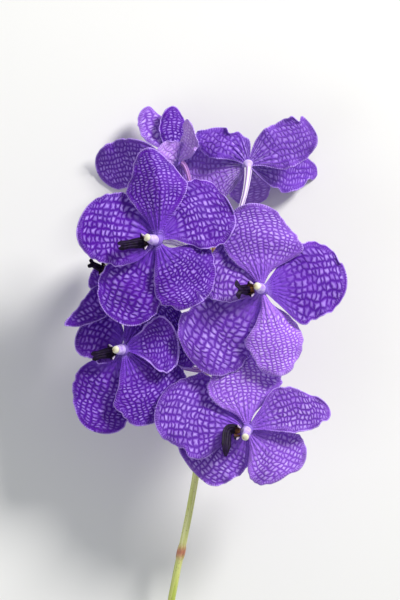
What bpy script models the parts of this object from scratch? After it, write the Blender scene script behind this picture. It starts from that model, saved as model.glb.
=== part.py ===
"""A cut vanda orchid: seven violet blooms on one spike, lying on its back.

Metres in the scene and millimetres in the tables below. The spike runs along +Y, its cut end
towards -Y, and the side that shows the open blooms faces +Z. It rests on the low tepals of the
two top blooms and on the cut end of its stem.
"""
from collections import namedtuple

import bmesh
import bpy
import numpy as np
from mathutils import Vector

# Driving sizes, in millimetres
MM = 0.001
GAP = 0.3                 # clearance between pieces that touch on the real flower
MERGE = 0.004             # edges shorter than this are closed up after a union
MANIFOLD_UNIONS = ("bloom_front_tepals",)    # where the exact solver leaves an open edge
BLADE_THICKNESS = 0.8
ROWS_ALONG = 7            # steps from claw to tip of a blade
ROWS_ACROSS = 6           # steps from margin to margin
CLAW_START = 1.8          # how far from the bloom's centre a claw begins, inside the hub
HUB_RADIUS = 3.6          # where the five claws meet
HUB_FRONT = 2.8           # its height towards the open side and towards the stalk
HUB_BACK = 4.0
COLUMN_LENGTH = 6.5
COLUMN_RADIUS = 3.0
CAP_RADIUS = 2.2
PEDICEL_RADIUS = 1.6
STEM_RADIUS_CUT = 2.6
STEM_RADIUS_HEAD = 2.1
STEM_RADIUS_TOP = 1.6
SHEATH_RISE = 0.45        # how far a stem sheath stands out
BRACT_LENGTH = 6.0
LIP_KNEE = 3.0            # how far a lip runs out from its column before it bends to its end
KNEES = {"bloom_low": (-6.5, 0.6, 0)}    # this one runs out another way and further
FLARES = {"bloom_right": 2.0, "bloom_low": 1.4, "bloom_side": 1.4}    # wider ends, seen square on

# Colours of the sub-parts: base colour, roughness
COLOURS = {
    "tepals": ((0.125, 0.035, 0.42), 0.5),
    "column": ((0.72, 0.60, 0.88), 0.45),
    "cap": ((0.83, 0.80, 0.62), 0.5),
    "lip": ((0.022, 0.010, 0.055), 0.4),
    "pedicel": ((0.70, 0.55, 0.80), 0.45),
    "stem": ((0.34, 0.37, 0.12), 0.5),
    "bract": ((0.22, 0.09, 0.06), 0.75),
}

# Shape of a tepal
# tip and root are places from the bloom's centre, with +Z towards the open side. The blade lies
# flat to +Z and is then rolled by turn. bow and sway bend its midline, hook bends its tip down,
# fold and cup lift its margins, wave ripples them, and notch pulls in the end. left and right
# make each margin fuller or slacker at the five stations. A dent is (u, v, rise, reach): a hollow
# or a swelling. A tepal that rests is lowered until it touches the surface.
STATIONS = np.array((0.15, 0.35, 0.55, 0.75, 0.93))
EVEN = (1, 1, 1, 1, 1)
PHASE_STEP = 0.3          # by which the ripples of the next tepal run ahead
TEPAL_FIELDS = dict(
    tip=(0, 50, 0), root=(0, 0, 0), width=40.0, turn=0.0, bow=0.0, sway=0.0,
    widest=0.6, blunt=2.1, claw=5.0, neck=1.5, fold=0.0, cup=0.0, wave=1.0, waves=2.5,
    phase=0.0, left=EVEN, right=EVEN, notch=0.0, hook=0.0, dents=(), rests=False,
)
Tepal = namedtuple("Tepal", ["name"] + list(TEPAL_FIELDS))
Bloom = namedtuple("Bloom", "name centre facing column lip lip_roll tepals")


def tepal(name, **shape):
    return Tepal(name, **{**TEPAL_FIELDS, **shape})


def unit(v):
    v = np.asarray(v, float)
    return v / np.linalg.norm(v)


def turned(v, axis, degrees):
    """v turned about a unit axis."""
    a = np.radians(degrees)
    return v * np.cos(a) + np.cross(axis, v) * np.sin(a) + axis * np.dot(axis, v) * (1 - np.cos(a))


def half_width(t, u):
    """Share of the half width at u: a narrow claw that opens into a rounded blade."""
    narrow = t.claw / t.width * min(1.0, 0.5 + 4 * u)
    if u < t.widest:
        return narrow + (1 - narrow) * np.sin(u / t.widest * np.pi / 2) ** t.neck
    past = (u - t.widest) / (1 - t.widest)
    return max(0.0, 1 - past ** t.blunt) ** (1 / t.blunt)


def fullness(t, u, v):
    """How much wider than the even outline the blade is at u, on the side of v."""
    weights = np.exp(-((u - STATIONS) / 0.12) ** 2)
    return np.dot(weights, t.left if v < 0 else t.right) / weights.sum()


def blade_point(t, u, v):
    """A point of the middle surface: u from root to tip, v from the left margin -1 to the right +1."""
    root = np.array(t.root, float)
    tip = np.array(t.tip, float)
    along = unit(tip - root)
    up = np.array([0.0, 0.0, 1.0])
    flat_face = unit(up - along * np.dot(up, along))
    face = turned(flat_face, along, t.turn)
    side = np.cross(along, face)
    share = half_width(t, u)
    across = t.width / 2 * share * v * fullness(t, u, v)
    rise = t.cup * v * v + t.fold * (np.sqrt(v * v + 0.02) - 0.141)
    ripple = np.sin(2 * np.pi * (t.waves * u + t.phase + 0.15 * v))
    rise += t.wave * ripple * abs(v) ** 2.5 * np.sign(v)
    length = np.linalg.norm(tip - root)
    for dent_u, dent_v, height, reach in t.dents:
        away = np.hypot((u - dent_u) * length, across - dent_v * t.width / 2)
        rise += height * np.exp(-(away / reach) ** 2)
    pull = t.notch * np.exp(-(v / 0.16) ** 2) * u ** 6
    bend = 4 * u * (1 - u)
    middle = root + (tip - root) * u - along * pull
    middle = middle + bend * (t.bow * face + t.sway * side) - face * t.hook * u ** 4
    return middle + side * across + face * rise * min(1.0, share) ** 1.2


def laid_down(t, height):
    """The same tepal with its tip lowered until the blade touches the surface, height below the bloom."""
    for _ in range(6):
        grid = [(blade_point(t, u, v)[2], u) for u in np.linspace(0.3, 1, 29) for v in np.linspace(-1, 1, 25)]
        low, u = min(grid)
        x, y, z = t.tip
        t = t._replace(tip=(x, y, z - (low + height - BLADE_THICKNESS / 2) / u))
    return t


BLOOMS = []


def bloom(name, centre, facing, column, lip, lip_roll, *tepals):
    tepals = [t._replace(phase=PHASE_STEP * i) for i, t in enumerate(tepals)]
    tepals = [laid_down(t, centre[2]) if t.rests else t for t in tepals]
    BLOOMS.append(Bloom(name, centre, facing, column, lip, lip_roll, tepals))


bloom(
    "bloom_front", (-25.8, 36.0, 96.0), (-0.45, 0.0, 0.9), (-0.6, 0.2, 0.77), (-23.2, -4, 9.5), 0,
    tepal("dorsal", root=(0, 0, 1.2), tip=(-4.8, 55, 0), width=34, sway=5, fold=-11,
          blunt=2.2, bow=6.5, left=(1, 1.18, 1.27, 0.9, 0.85), right=(0.5, 0.83, 0.97, 0.72, 0.5)),
    tepal("petal_left", root=(0, 0, 0.4), tip=(-47.8, 7, -1), width=46, sway=4, widest=0.47,
          neck=0.9, turn=12, cup=-2, left=(1.1, 1, 1, 1, 0.95), right=(1.08, 1, 0.96, 0.98, 1.04),
          dents=((0.6, 0.3, -1.6, 9), (0.7, -0.5, 1.2, 8))),
    tepal("petal_right", root=(0, 0, 0.4), tip=(46.2, 16, -5), width=41, sway=-5, widest=0.58,
          neck=1.2, turn=-10, cup=-2, left=(1, 1, 1.1, 1.22, 1.45), right=(0.55, 0.8, 0.98, 1, 0.9),
          dents=((0.55, -0.4, 1.4, 10), (0.6, 0.55, -1.2, 8))),
    tepal("sepal_left", root=(0, 0, -1.1), tip=(-22, -50, -7), width=40, sway=3, widest=0.58,
          blunt=2.3, bow=-1, cup=-1, left=(1, 1, 1, 1.03, 0.93), right=(1, 1, 0.97, 1, 1.02),
          dents=((0.6, 0.4, 1.2, 9),)),
    tepal("sepal_right", root=(0, 0, -0.3), tip=(28.2, -36, -4), width=38, widest=0.58, notch=4,
          turn=-8, cup=-4, bow=0.5, left=(0.25, 1.2, 1.2, 1.03, 0.95), right=(1, 1, 1.08, 1.18, 1.2),
          dents=((0.82, 0, -1.6, 6),)),
)
bloom(
    "bloom_right", (37.2, 6.6, 84.0), (-0.25, 0.1, 0.95), (-0.3, 0.2, 0.93), (-16, -0.4, 12), 0,
    tepal("dorsal", root=(0, 0, 1), tip=(-7, 51.5, -2), width=45, sway=2.5, blunt=1.95, bow=2, cup=-3,
          left=(0.85, 1, 1, 1, 1), right=(0.45, 1.5, 1, 0.8, 0.88), dents=((0.6, -0.5, -1.4, 8),)),
    tepal("petal_left", root=(0, 0, 0.5), tip=(-35, 9, -4), width=36, turn=10,
          left=(1, 0.8, 0.75, 0.8, 0.9), right=(1, 1.3, 1.35, 1.5, 1.6)),
    tepal("petal_right", root=(0, 0, 0.5), tip=(51.1, 7.8, -2), width=46, sway=-1, widest=0.58,
          turn=-8, cup=-2, left=(1, 1.15, 1, 1.06, 1), right=(1.35, 1.38, 1.04, 0.96, 0.92),
          dents=((0.6, -0.4, 1.4, 9), (0.5, 0.4, -1.4, 9))),
    tepal("sepal_left", root=(0, 0, -1), tip=(-36.5, -49, -6), width=45, sway=7, neck=1.0,
          widest=0.58, bow=-2, cup=-2, left=(1, 1, 1.1, 1.15, 1), right=(1, 1, 0.9, 1.12, 1.25),
          dents=((0.5, 0.3, -1.4, 10), (0.75, -0.5, 1.2, 8))),
    tepal("sepal_right", root=(0, 0, -0.5), tip=(12, -52, 0), width=35, bow=2.5, turn=-6, cup=-4.5,
          left=(0.45, 0.95, 1.02, 1, 0.88), right=(0.3, 0.6, 1.02, 0.82, 0.95)),
)
bloom(
    "bloom_low", (28.8, -78.0, 77.0), (-0.2, -0.3, 0.93), (-0.1, -0.5, 0.86), (-13.2, -16.2, 9), 0,
    tepal("dorsal", root=(0, 0, 0.5), tip=(-5, 45, -4), width=44, bow=1, cup=-1,
          left=(0.5, 1, 1, 0.88, 0.9), right=(0.5, 0.8, 1.08, 1.15, 1.1)),
    tepal("petal_left", root=(0, 0, -0.5), tip=(-56, 11, -4), width=50, sway=1, turn=14, cup=-2,
          left=(1.1, 1.2, 1, 0.76, 0.82), right=(1, 1.08, 1.15, 1, 1),
          dents=((0.55, 0.3, -1.5, 10), (0.7, -0.4, 1.3, 9))),
    tepal("petal_right", root=(0, 0, 1), tip=(49.8, 10.8, 3), width=25, sway=-5, widest=0.55,
          bow=2, cup=2, hook=2, left=(1.1, 1.45, 1.25, 1, 1), right=(0.9, 0.95, 1.02, 1.08, 1)),
    tepal("sepal_left", root=(0, 0, -1), tip=(-25, -33, -7), width=34, bow=-2,
          left=(1, 1, 0.82, 0.68, 0.65), right=(1, 1.3, 1.72, 1.85, 1.9)),
    tepal("sepal_right", root=(0, 0, -0.5), tip=(33, -23, -4), width=37, sway=4, turn=-8, cup=-3,
          left=(1, 1, 1.02, 1.02, 1), right=(0.7, 1.25, 1.08, 1, 0.55)),
)
bloom(
    "bloom_left", (-46.2, -30.0, 69.0), (-0.4, 0.0, 0.9), (-0.45, 0.0, 0.89), (-19.5, -4.4, 7), 0,
    tepal("dorsal", root=(0, 0, 0.5), tip=(31, 27, -6), width=44, cup=-1,
          right=(0.8, 1.3, 1.65, 1.6, 1.5)),
    tepal("petal_left", root=(0, 0, -0.5), tip=(-29.5, 7, -4), width=40, neck=0.8, turn=20,
          left=(0.9, 0.72, 0.55, 0.55, 0.62), right=(1.3, 1.2, 1.1, 0.95, 0.9)),
    tepal("petal_right", root=(0, 0, 1), tip=(33, 6, 3), width=34, bow=1, cup=4, turn=6,
          left=(0.9, 0.7, 0.85, 1.05, 1.15), right=(0.5, 0.6, 0.95, 1.12, 1.25)),
    tepal("sepal_left", root=(0, 0, -1), tip=(-19, -49.8, -9), width=35, sway=3, neck=1.0, bow=-2,
          blunt=2.4, left=(1, 1, 1.05, 1.2, 1.2), right=(1.1, 1.2, 1.1, 0.95, 0.86)),
    tepal("sepal_right", root=(0, 0, 0), tip=(22.8, -42.6, -4), width=44, sway=-2, cup=-1, turn=-8,
          bow=1, left=(1, 1.05, 1.12, 1.05, 1), right=(1, 0.9, 1.08, 1, 1.15),
          dents=((0.6, 0.5, 1.3, 8),)),
)
bloom(
    "bloom_side", (-51.5, 16.4, 54.0), (-0.5, 0.35, 0.75), (-0.3, 0.8, 0.5), (-16.5, 6.5, 6), 0,
    tepal("sepal_left", root=(0, -1, 0), tip=(-30.4, -31.6, 20), width=20, sway=-6, blunt=1.5, bow=3,
          turn=10, claw=4, left=(1, 0.9, 0.85, 0.85, 0.9), right=(1.2, 1.2, 0.9, 0.7, 0.7)),
    tepal("petal_low", root=(0, -1, -1.5), tip=(-16.5, -8.3, -6), width=14, claw=3,
          left=(1, 0.6, 0.5, 0.5, 0.6), right=(1, 1.2, 1.35, 1.1, 0.9)),
    tepal("petal_high", root=(0, 1, -1), tip=(-8.5, 35, 2), width=27, turn=-20, claw=4),
    tepal("dorsal", root=(0, 0, -1), tip=(7.5, 27, -26), width=26, claw=4),
    tepal("sepal_back", root=(-1, -1.5, 0), tip=(-9, -17, -26), width=15, claw=4),
)
bloom(
    "bloom_top_left", (-16.0, 85.5, 34.0), (-0.82, 0.1, 0.4), (-0.9, -0.2, 0.38), (-22, -2, 10), 0,
    tepal("petal_left", root=(-1, 0, -1.5), tip=(-48.6, -4.5, -24), width=32, turn=-25, widest=0.55,
          blunt=2.4, wave=1.6, bow=-3, claw=4, rests=True,
          left=(1, 1, 0.97, 1.02, 1.15), right=(1.3, 1.25, 1.12, 1.1, 1.1)),
    tepal("sepal_pale", root=(0, 1, -1.5), tip=(-16.2, 35.3, -20), width=20, turn=25, cup=-2, claw=3,
          neck=2.0, left=(1, 1.2, 1.22, 1.2, 1.2), right=(1, 1, 0.85, 0.7, 0.5)),
    tepal("sepal_dark", root=(0.5, 1.5, -0.8), tip=(-1, 34.9, -9), width=18, turn=10, cup=-2, claw=3,
          left=(1, 1.05, 1, 0.9, 0.85), right=(1, 1, 1, 0.9, 0.75)),
    tepal("petal_folded", root=(1, -0.2, 0.2), tip=(9, 24.5, 15), width=18, sway=5, turn=-50, fold=-2,
          claw=3),
    tepal("sepal_near", root=(3, -1.2, 0.2), tip=(-9.5, 7.5, 18), width=20, claw=3,
          left=(1, 0.6, 0.5, 0.5, 0.6), right=(2.2, 1.5, 1, 0.9, 0.9)),
)
bloom(
    "bloom_top_right", (29.5, 83.0, 36.0), (0.0, 0.6, -0.8), (0.0, 0.5, -0.87), (2, 8, -15), 180,
    tepal("upper_left", root=(0, 0, 0), tip=(-31, 20.5, 8), width=21, sway=5, wave=2.2, waves=2, claw=4,
          left=(1, 1.1, 1.3, 1.3, 1.1), right=(2.3, 1.1, 0.9, 0.55, 0.25)),
    tepal("left", root=(0, 0, -1), tip=(-45, -1, -10), width=36, cup=2, claw=4,
          left=(2, 1.5, 1.15, 1.1, 1.45)),
    tepal("bottom", root=(-0.5, -1, -1.5), tip=(4, -23.2, -30), width=26, claw=4, rests=True,
          left=(1.6, 1.3, 1, 0.95, 0.9), right=(1.7, 1.35, 1.05, 1, 1)),
    tepal("upper_right", root=(0, 0, 0), tip=(42.4, 18.5, 4), width=29, sway=-2.3, wave=1.6, claw=4,
          left=(1.6, 1.25, 0.98, 1.1, 1.7), right=(0.9, 1.1, 1, 0.92, 0.8)),
    tepal("right", root=(1, 0, 0.5), tip=(44.2, -4, -30), width=26, sway=2, wave=1.6, claw=4,
          rests=True, right=(1, 1.05, 0.95, 0.74, 0.55)),
)

# Building meshes


def material(kind):
    """One Principled material for each kind of sub-part."""
    name = f"orchid_{kind}"
    if name in bpy.data.materials:
        return bpy.data.materials[name]
    colour, roughness = COLOURS[kind]
    mat = bpy.data.materials.new(name)
    mat.use_nodes = True
    shader = mat.node_tree.nodes["Principled BSDF"]
    shader.inputs["Base Color"].default_value = (*colour, 1)
    shader.inputs["Roughness"].default_value = roughness
    mat.diffuse_color = (*colour, 1)
    return mat


def new_object(name, points, faces, kind):
    """A named object from points in millimetres, with its faces turned outwards."""
    mesh = bpy.data.meshes.new(name)
    mesh.from_pydata([Vector(p) * MM for p in points], [], faces)
    bm = bmesh.new()
    bm.from_mesh(mesh)
    bmesh.ops.recalc_face_normals(bm, faces=bm.faces)
    bm.to_mesh(mesh)
    bm.free()
    mesh.materials.append(material(kind))
    mesh.shade_smooth()
    obj = bpy.data.objects.new(name, mesh)
    bpy.context.collection.objects.link(obj)
    return obj


def fuse(base, pieces):
    """Join pieces into base as one body, by one union over a collection of them."""
    group = bpy.data.collections.new(base.name + "_pieces")
    bpy.context.scene.collection.children.link(group)
    for piece in pieces:
        bpy.context.collection.objects.unlink(piece)
        group.objects.link(piece)
    union = base.modifiers.new("union", "BOOLEAN")
    union.operation = "UNION"
    union.operand_type = "COLLECTION"
    union.collection = group
    union.solver = "MANIFOLD" if base.name in MANIFOLD_UNIONS else "EXACT"
    bpy.ops.object.select_all(action="DESELECT")
    bpy.context.view_layer.objects.active = base
    base.select_set(True)
    bpy.ops.object.modifier_apply(modifier=union.name)
    for piece in pieces:
        bpy.data.objects.remove(piece, do_unlink=True)
    bpy.data.collections.remove(group)
    bm = bmesh.new()
    bm.from_mesh(base.data)
    bmesh.ops.triangulate(bm, faces=bm.faces)
    bmesh.ops.dissolve_degenerate(bm, dist=MERGE * MM, edges=bm.edges)
    bmesh.ops.triangulate(bm, faces=bm.faces)
    bm.to_mesh(base.data)
    bm.free()
    base.data.shade_smooth()
    return base


def blade_mesh(t, centre):
    """Points and triangles of one blade, split alike on its two faces."""
    tip_share = np.linspace(0, 1, ROWS_ALONG + 1)
    first = CLAW_START / np.linalg.norm(np.subtract(t.tip, t.root))
    along = 1 - (1 - first) * (1 - tip_share) ** 1.35
    across = np.linspace(-1, 1, ROWS_ACROSS + 1)
    grid = np.array([[blade_point(t, u, v) for v in across] for u in along[:-1]])
    end = blade_point(t, 1.0, 0.0)
    step_u = np.gradient(grid, axis=0)
    step_v = np.gradient(grid, axis=1)
    normals = np.cross(step_u, step_v)
    normals /= np.linalg.norm(normals, axis=2, keepdims=True)
    half = BLADE_THICKNESS / 2
    rows, cols = grid.shape[:2]
    end_normal = unit(normals[-1].mean(axis=0))
    points = []
    faces = []
    for side in (1, -1):
        start = len(points)
        points += [p for row in grid + side * half * normals for p in row]
        points.append(end + side * half * end_normal)
        for i in range(rows - 1):
            for j in range(cols - 1):
                a = start + i * cols + j
                b = a + cols
                faces += [(a, a + 1, b + 1), (a, b + 1, b)]
        last = start + (rows - 1) * cols
        faces += [(last + j, last + j + 1, start + rows * cols) for j in range(cols - 1)]
    edge = list(range(cols))
    edge += [i * cols + cols - 1 for i in range(1, rows)]
    edge.append(rows * cols)
    edge += [i * cols for i in range(rows - 1, 0, -1)]
    lower = rows * cols + 1
    for a, b in zip(edge, edge[1:] + edge[:1]):
        faces += [(a, b, b + lower), (a, b + lower, a + lower)]
    return [p + np.array(centre, float) for p in points], faces


def frames_along(path, first_side):
    """A forward, side and up direction at each point of a path, carried on without twisting."""
    path = np.array(path, float)
    forward = np.gradient(path, axis=0)
    frames = []
    side = np.array(first_side, float)
    for f in forward:
        f = unit(f)
        side = unit(side - f * np.dot(side, f))
        frames.append((f, side, np.cross(f, side)))
    return frames


def loft(path, sections, first_side, first_forward=None, last_forward=None):
    """Points and faces of a closed tube: one ring of (side, up) offsets at each point of the path.

    The first and last rings can be squared to a given direction, to sit flat on what they meet.
    """
    frames = frames_along(path, first_side)
    for place, forward in ((0, first_forward), (-1, last_forward)):
        if forward is not None:
            f = unit(forward)
            side = unit(frames[place][1] - f * np.dot(frames[place][1], f))
            frames[place] = (f, side, np.cross(f, side))
    points = []
    faces = []
    count = len(sections[0])
    for centre, (_, side, up), ring in zip(path, frames, sections):
        points += [np.array(centre, float) + side * a + up * b for a, b in ring]
    for i in range(len(path) - 1):
        for j in range(count):
            a = i * count + j
            b = i * count + (j + 1) % count
            faces += [(a, b, b + count), (a, b + count, a + count)]
    faces.append(tuple(range(count)))
    faces.append(tuple(range((len(path) - 1) * count, len(path) * count)))
    return points, faces


def ring(width, height, sides=8):
    """An oval ring of a loft, width along its side direction."""
    turns = [2 * np.pi * (i + 0.5) / sides for i in range(sides)]
    return [(width / 2 * np.cos(a), height / 2 * np.sin(a)) for a in turns]


def smooth_path(points, steps):
    """A smooth curve through the points, with a number of steps between each two."""
    points = [np.array(p, float) for p in points]
    ends = [2 * points[0] - points[1]] + points + [2 * points[-1] - points[-2]]
    path = []
    for i in range(1, len(ends) - 2):
        p0, p1, p2, p3 = ends[i - 1:i + 3]
        for s in np.arange(steps) / steps:
            path.append(0.5 * (2 * p1 + (p2 - p0) * s + (2 * p0 - 5 * p1 + 4 * p2 - p3) * s ** 2
                               + (3 * p1 - p0 - 3 * p2 + p3) * s ** 3))
    path.append(points[-1])
    return path


# Stem
# Its cut end lies on the surface and it climbs to the height of the head.
STEM_ROUTE = [(-29, -312, 2.49), (-25.5, -250, 11.5), (-17.6, -185, 23.5), (-10.4, -150, 30.5),
              (-3, -111, 37.5), (1.5, -72, 43), (4, -35, 46.5), (5.6, 5, 48.5), (6.8, 35, 49.5),
              (7.4, 61, 50)]
STEM_STEPS = 2
STEM_SIDES = 12
SHEATHS = [(-156.0, 9.0), (-232.0, 9.0)]    # place along Y and length


def stem_radius(y):
    """Thicker towards the cut end, with a raised papery sheath at each bare joint."""
    share = np.interp(y, [-312, -111, 61], [0, 1, 2])
    radius = np.interp(share, [0, 1, 2], [STEM_RADIUS_CUT, STEM_RADIUS_HEAD, STEM_RADIUS_TOP])
    for place, length in SHEATHS:
        away = abs(y - place) / (length / 2)
        if away < 1:
            radius += SHEATH_RISE * (1 - away ** 4)
    return radius


def stem_path():
    path = smooth_path(STEM_ROUTE, STEM_STEPS)
    extra = []
    for place, length in SHEATHS:
        for share in (-0.51, -0.4, 0.4, 0.51):
            extra.append(stem_at(place + share * length, path))
    return sorted(path + extra, key=lambda p: p[1])


def stem_at(y, path=None):
    """The stem's centre where it passes y."""
    path = np.array(path or smooth_path(STEM_ROUTE, STEM_STEPS))
    return np.array([np.interp(y, path[:, 1], path[:, i]) for i in range(3)])


def make_stem():
    path = stem_path()
    sections = [ring(2 * stem_radius(p[1]), 2 * stem_radius(p[1]), STEM_SIDES) for p in path]
    points, faces = loft(path, sections, (1, 0, 0))
    return new_object("stem", points, faces, "stem")


# Pedicels: where each leaves the stem along Y, which way, how far it runs straight at each end, and
# its radius
PEDICELS = {
    "bloom_front": (30.0, (-0.5, 0.2, 0.8), 22, 18, PEDICEL_RADIUS),
    "bloom_right": (-14.0, (0.75, 0.2, 0.6), 20, 16, PEDICEL_RADIUS),
    "bloom_low": (-60.0, (0.6, -0.2, 0.75), 16, 14, PEDICEL_RADIUS),
    "bloom_left": (-43.0, (-0.85, 0.1, 0.5), 20, 16, PEDICEL_RADIUS),
    "bloom_side": (2.0, (-0.95, 0.15, 0.2), 24, 12, PEDICEL_RADIUS),
    "bloom_top_left": (56.0, (-0.75, 0.6, -0.3), 14, 8, 1.2),
    "bloom_top_right": (38.0, (0.8, 0.5, 0.1), 14, 18, PEDICEL_RADIUS),
}
PEDICEL_STEPS = 10
PEDICEL_SIDES = 7


def root_of_pedicel(name):
    """Stem centre and outward direction where a pedicel starts."""
    y, direction, *_ = PEDICELS[name]
    centre = stem_at(y)
    axis = unit(stem_at(y + 1) - stem_at(y - 1))
    direction = np.array(direction, float)
    return centre, unit(direction - axis * np.dot(direction, axis)), axis


def make_pedicel(b):
    """A flower stalk from the stem to the back of a bloom's hub."""
    centre, outward, _ = root_of_pedicel(b.name)
    start = centre + outward * (stem_radius(centre[1]) + GAP)
    back = -unit(b.facing)
    end = np.array(b.centre) + back * (HUB_BACK + GAP)
    root_run, bloom_run, thickness = PEDICELS[b.name][2:]
    pulls = (start, start + outward * root_run, end + back * bloom_run, end)
    path = []
    sections = []
    for s in np.linspace(0, 1, PEDICEL_STEPS + 1):
        weights = ((1 - s) ** 3, 3 * s * (1 - s) ** 2, 3 * s * s * (1 - s), s ** 3)
        path.append(sum(w * p for w, p in zip(weights, pulls)))
        radius = thickness * (1.15 - 0.3 * np.sin(np.pi * s) + 0.4 * s ** 3)
        sections.append(ring(2 * radius, 2 * radius, PEDICEL_SIDES))
    points, faces = loft(path, sections, (0.3, 0.2, 1), outward, -back)
    return new_object(b.name + "_pedicel", points, faces, "pedicel")


def make_bract(b):
    """A small papery scale that hugs the stem under a pedicel."""
    centre, outward, axis = root_of_pedicel(b.name)
    around = np.cross(axis, outward)
    inner = []
    outer = []
    steps = 4
    for i in range(steps + 1):
        u = i / steps
        spread = np.radians(62) * (1 - u ** 2)
        middle = centre + axis * (-PEDICEL_RADIUS * 1.2 - GAP - BRACT_LENGTH * (1 - u))
        radius = stem_radius(middle[1]) + GAP + 0.5 * u ** 2
        angles = np.linspace(-spread, spread, 5)
        for store, extra in ((inner, 0), (outer, 0.7)):
            store.append([middle + (radius + extra) * (outward * np.cos(a) + around * np.sin(a))
                          for a in angles])
    points = [p for row in inner[:-1] + outer[:-1] for p in row]
    cols = 5
    rows = steps
    lower = rows * cols
    points += [inner[-1][2], outer[-1][2]]
    tips = (2 * lower, 2 * lower + 1)
    faces = []
    for first, end in ((0, tips[0]), (lower, tips[1])):
        for i in range(rows - 1):
            for j in range(cols - 1):
                a = first + i * cols + j
                faces += [(a, a + 1, a + 1 + cols), (a, a + 1 + cols, a + cols)]
        last = first + (rows - 1) * cols
        faces += [(last + j, last + j + 1, end) for j in range(cols - 1)]
    edge = list(range(cols)) + [i * cols + cols - 1 for i in range(1, rows)] + [tips[0]]
    edge += [i * cols for i in range(rows - 1, 0, -1)]
    twin = [tips[1] if k == tips[0] else k + lower for k in edge]
    for k in range(len(edge)):
        n = (k + 1) % len(edge)
        faces += [(edge[k], edge[n], twin[n]), (edge[k], twin[n], twin[k])]
    return new_object(b.name + "_bract", points, faces, "bract")


# Blooms


def make_tepals(b):
    """Five blades joined to a small hub, as one body."""
    facing = unit(b.facing)
    centre = np.array(b.centre)
    path = [centre + facing * s for s in (-HUB_BACK, -HUB_BACK / 3, HUB_FRONT / 2, HUB_FRONT)]
    sections = [ring(2 * HUB_RADIUS * w, 2 * HUB_RADIUS * w, 10) for w in (0.5, 0.97, 1.0, 0.75)]
    points, faces = loft(path, sections, (0, 1, 0.2))
    hub = new_object(b.name + "_tepals", points, faces, "tepals")
    blades = [new_object(b.name + "_" + t.name, *blade_mesh(t, centre), "tepals") for t in b.tepals]
    return fuse(hub, blades)


def column_route(b):
    facing = unit(b.facing)
    base = np.array(b.centre) + facing * (HUB_FRONT + GAP)
    lean = unit(b.column)
    return [base, base + facing * 2, base + facing * 2 + lean * (COLUMN_LENGTH - 2)]


def make_column(b):
    """The short fleshy column over the middle of the bloom."""
    path = smooth_path(column_route(b), 2)
    widths = [0.88, 1.04, 1.0, 0.9, 0.78]
    sections = [ring(2 * COLUMN_RADIUS * w, 2 * COLUMN_RADIUS * w, 10) for w in widths]
    points, faces = loft(path, sections, (0, 1, 0.2), b.facing)
    return new_object(b.name + "_column", points, faces, "column")


def make_cap(b):
    """The pale anther cap on the end of the column."""
    lean = unit(b.column)
    start = column_route(b)[-1] + lean * GAP
    path = [start + lean * s for s in (0, 0.9, 1.8, 2.5)]
    sections = [ring(2 * CAP_RADIUS * w, 2 * CAP_RADIUS * w, 8) for w in (0.85, 1, 0.75, 0.3)]
    points, faces = loft(path, sections, (0, 1, 0.2))
    return new_object(b.name + "_anther_cap", points, faces, "cap")


def make_lip(b):
    """The dark lip: a ridged middle lobe, two small side lobes and a short spur, as one body."""
    facing = unit(b.facing)
    centre = np.array(b.centre)
    tip = centre + np.array(b.lip, float)
    sideways = np.array(KNEES.get(b.name, b.lip), float)
    reach = np.linalg.norm(sideways) if b.name in KNEES else LIP_KNEE
    outward = unit(sideways - facing * np.dot(sideways, facing))
    start = column_route(b)[0] + facing * 2.6 + outward * (COLUMN_RADIUS * 1.08 + GAP)
    knee = start + outward * reach + facing * 0.9
    path = smooth_path([start, knee, knee * 0.45 + tip * 0.55 + facing * 1.5, tip], 2)
    across = turned(np.cross(facing, outward), outward, b.lip_roll)
    flare = FLARES.get(b.name, 1.0)
    widths = [2.8, 4.8, 6.2, 5.4, 5.0 * flare, 5.8 * flare, 4.8 * flare]
    heights = [2.0, 2.2, 2.4, 2.2, 2.0, 1.6, 1.0]
    sections = [ring(w, h, 8) for w, h in zip(widths, heights)]
    points, faces = loft(path, sections, across, outward)
    lobe = new_object(b.name + "_lip", points, faces, "lip")
    extras = []
    for side in (-1, 1):
        foot = start + outward * LIP_KNEE + across * side * 1.9
        lobe_path = [foot, foot + across * side * 1.0 + facing * 1.6, foot + across * side * 1.3 + facing * 3.4]
        lobe_rings = [ring(3.2, 1.2, 6), ring(3.4, 1.0, 6), ring(1.8, 0.7, 6)]
        extras.append(new_object(b.name + f"_lobe_{side}", *loft(lobe_path, lobe_rings, outward), "lip"))
    return fuse(lobe, extras)


def set_origin():
    """Put the origin under the middle of the whole flower, on the surface that it lies on."""
    corners = np.array([v.co for obj in bpy.data.objects for v in obj.data.vertices])
    low = corners.min(axis=0)
    high = corners.max(axis=0)
    shift = Vector((-(low[0] + high[0]) / 2, -(low[1] + high[1]) / 2, -low[2]))
    for obj in bpy.data.objects:
        for v in obj.data.vertices:
            v.co += shift


def main():
    for obj in list(bpy.data.objects):
        bpy.data.objects.remove(obj, do_unlink=True)
    make_stem()
    for b in BLOOMS:
        make_tepals(b)
        make_column(b)
        make_cap(b)
        make_lip(b)
        make_pedicel(b)
        make_bract(b)
    set_origin()


main()
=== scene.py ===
# %% [markdown]
# # A cut vanda orchid
# Seven violet blooms stand round one green spike. The spike has been cut and lies on its back, so
# the camera looks straight down on it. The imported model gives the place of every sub-part, and
# this lesson makes each of them again as a fine piece with its own finish.

# %% Load the frame
from collections import namedtuple
import math

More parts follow.
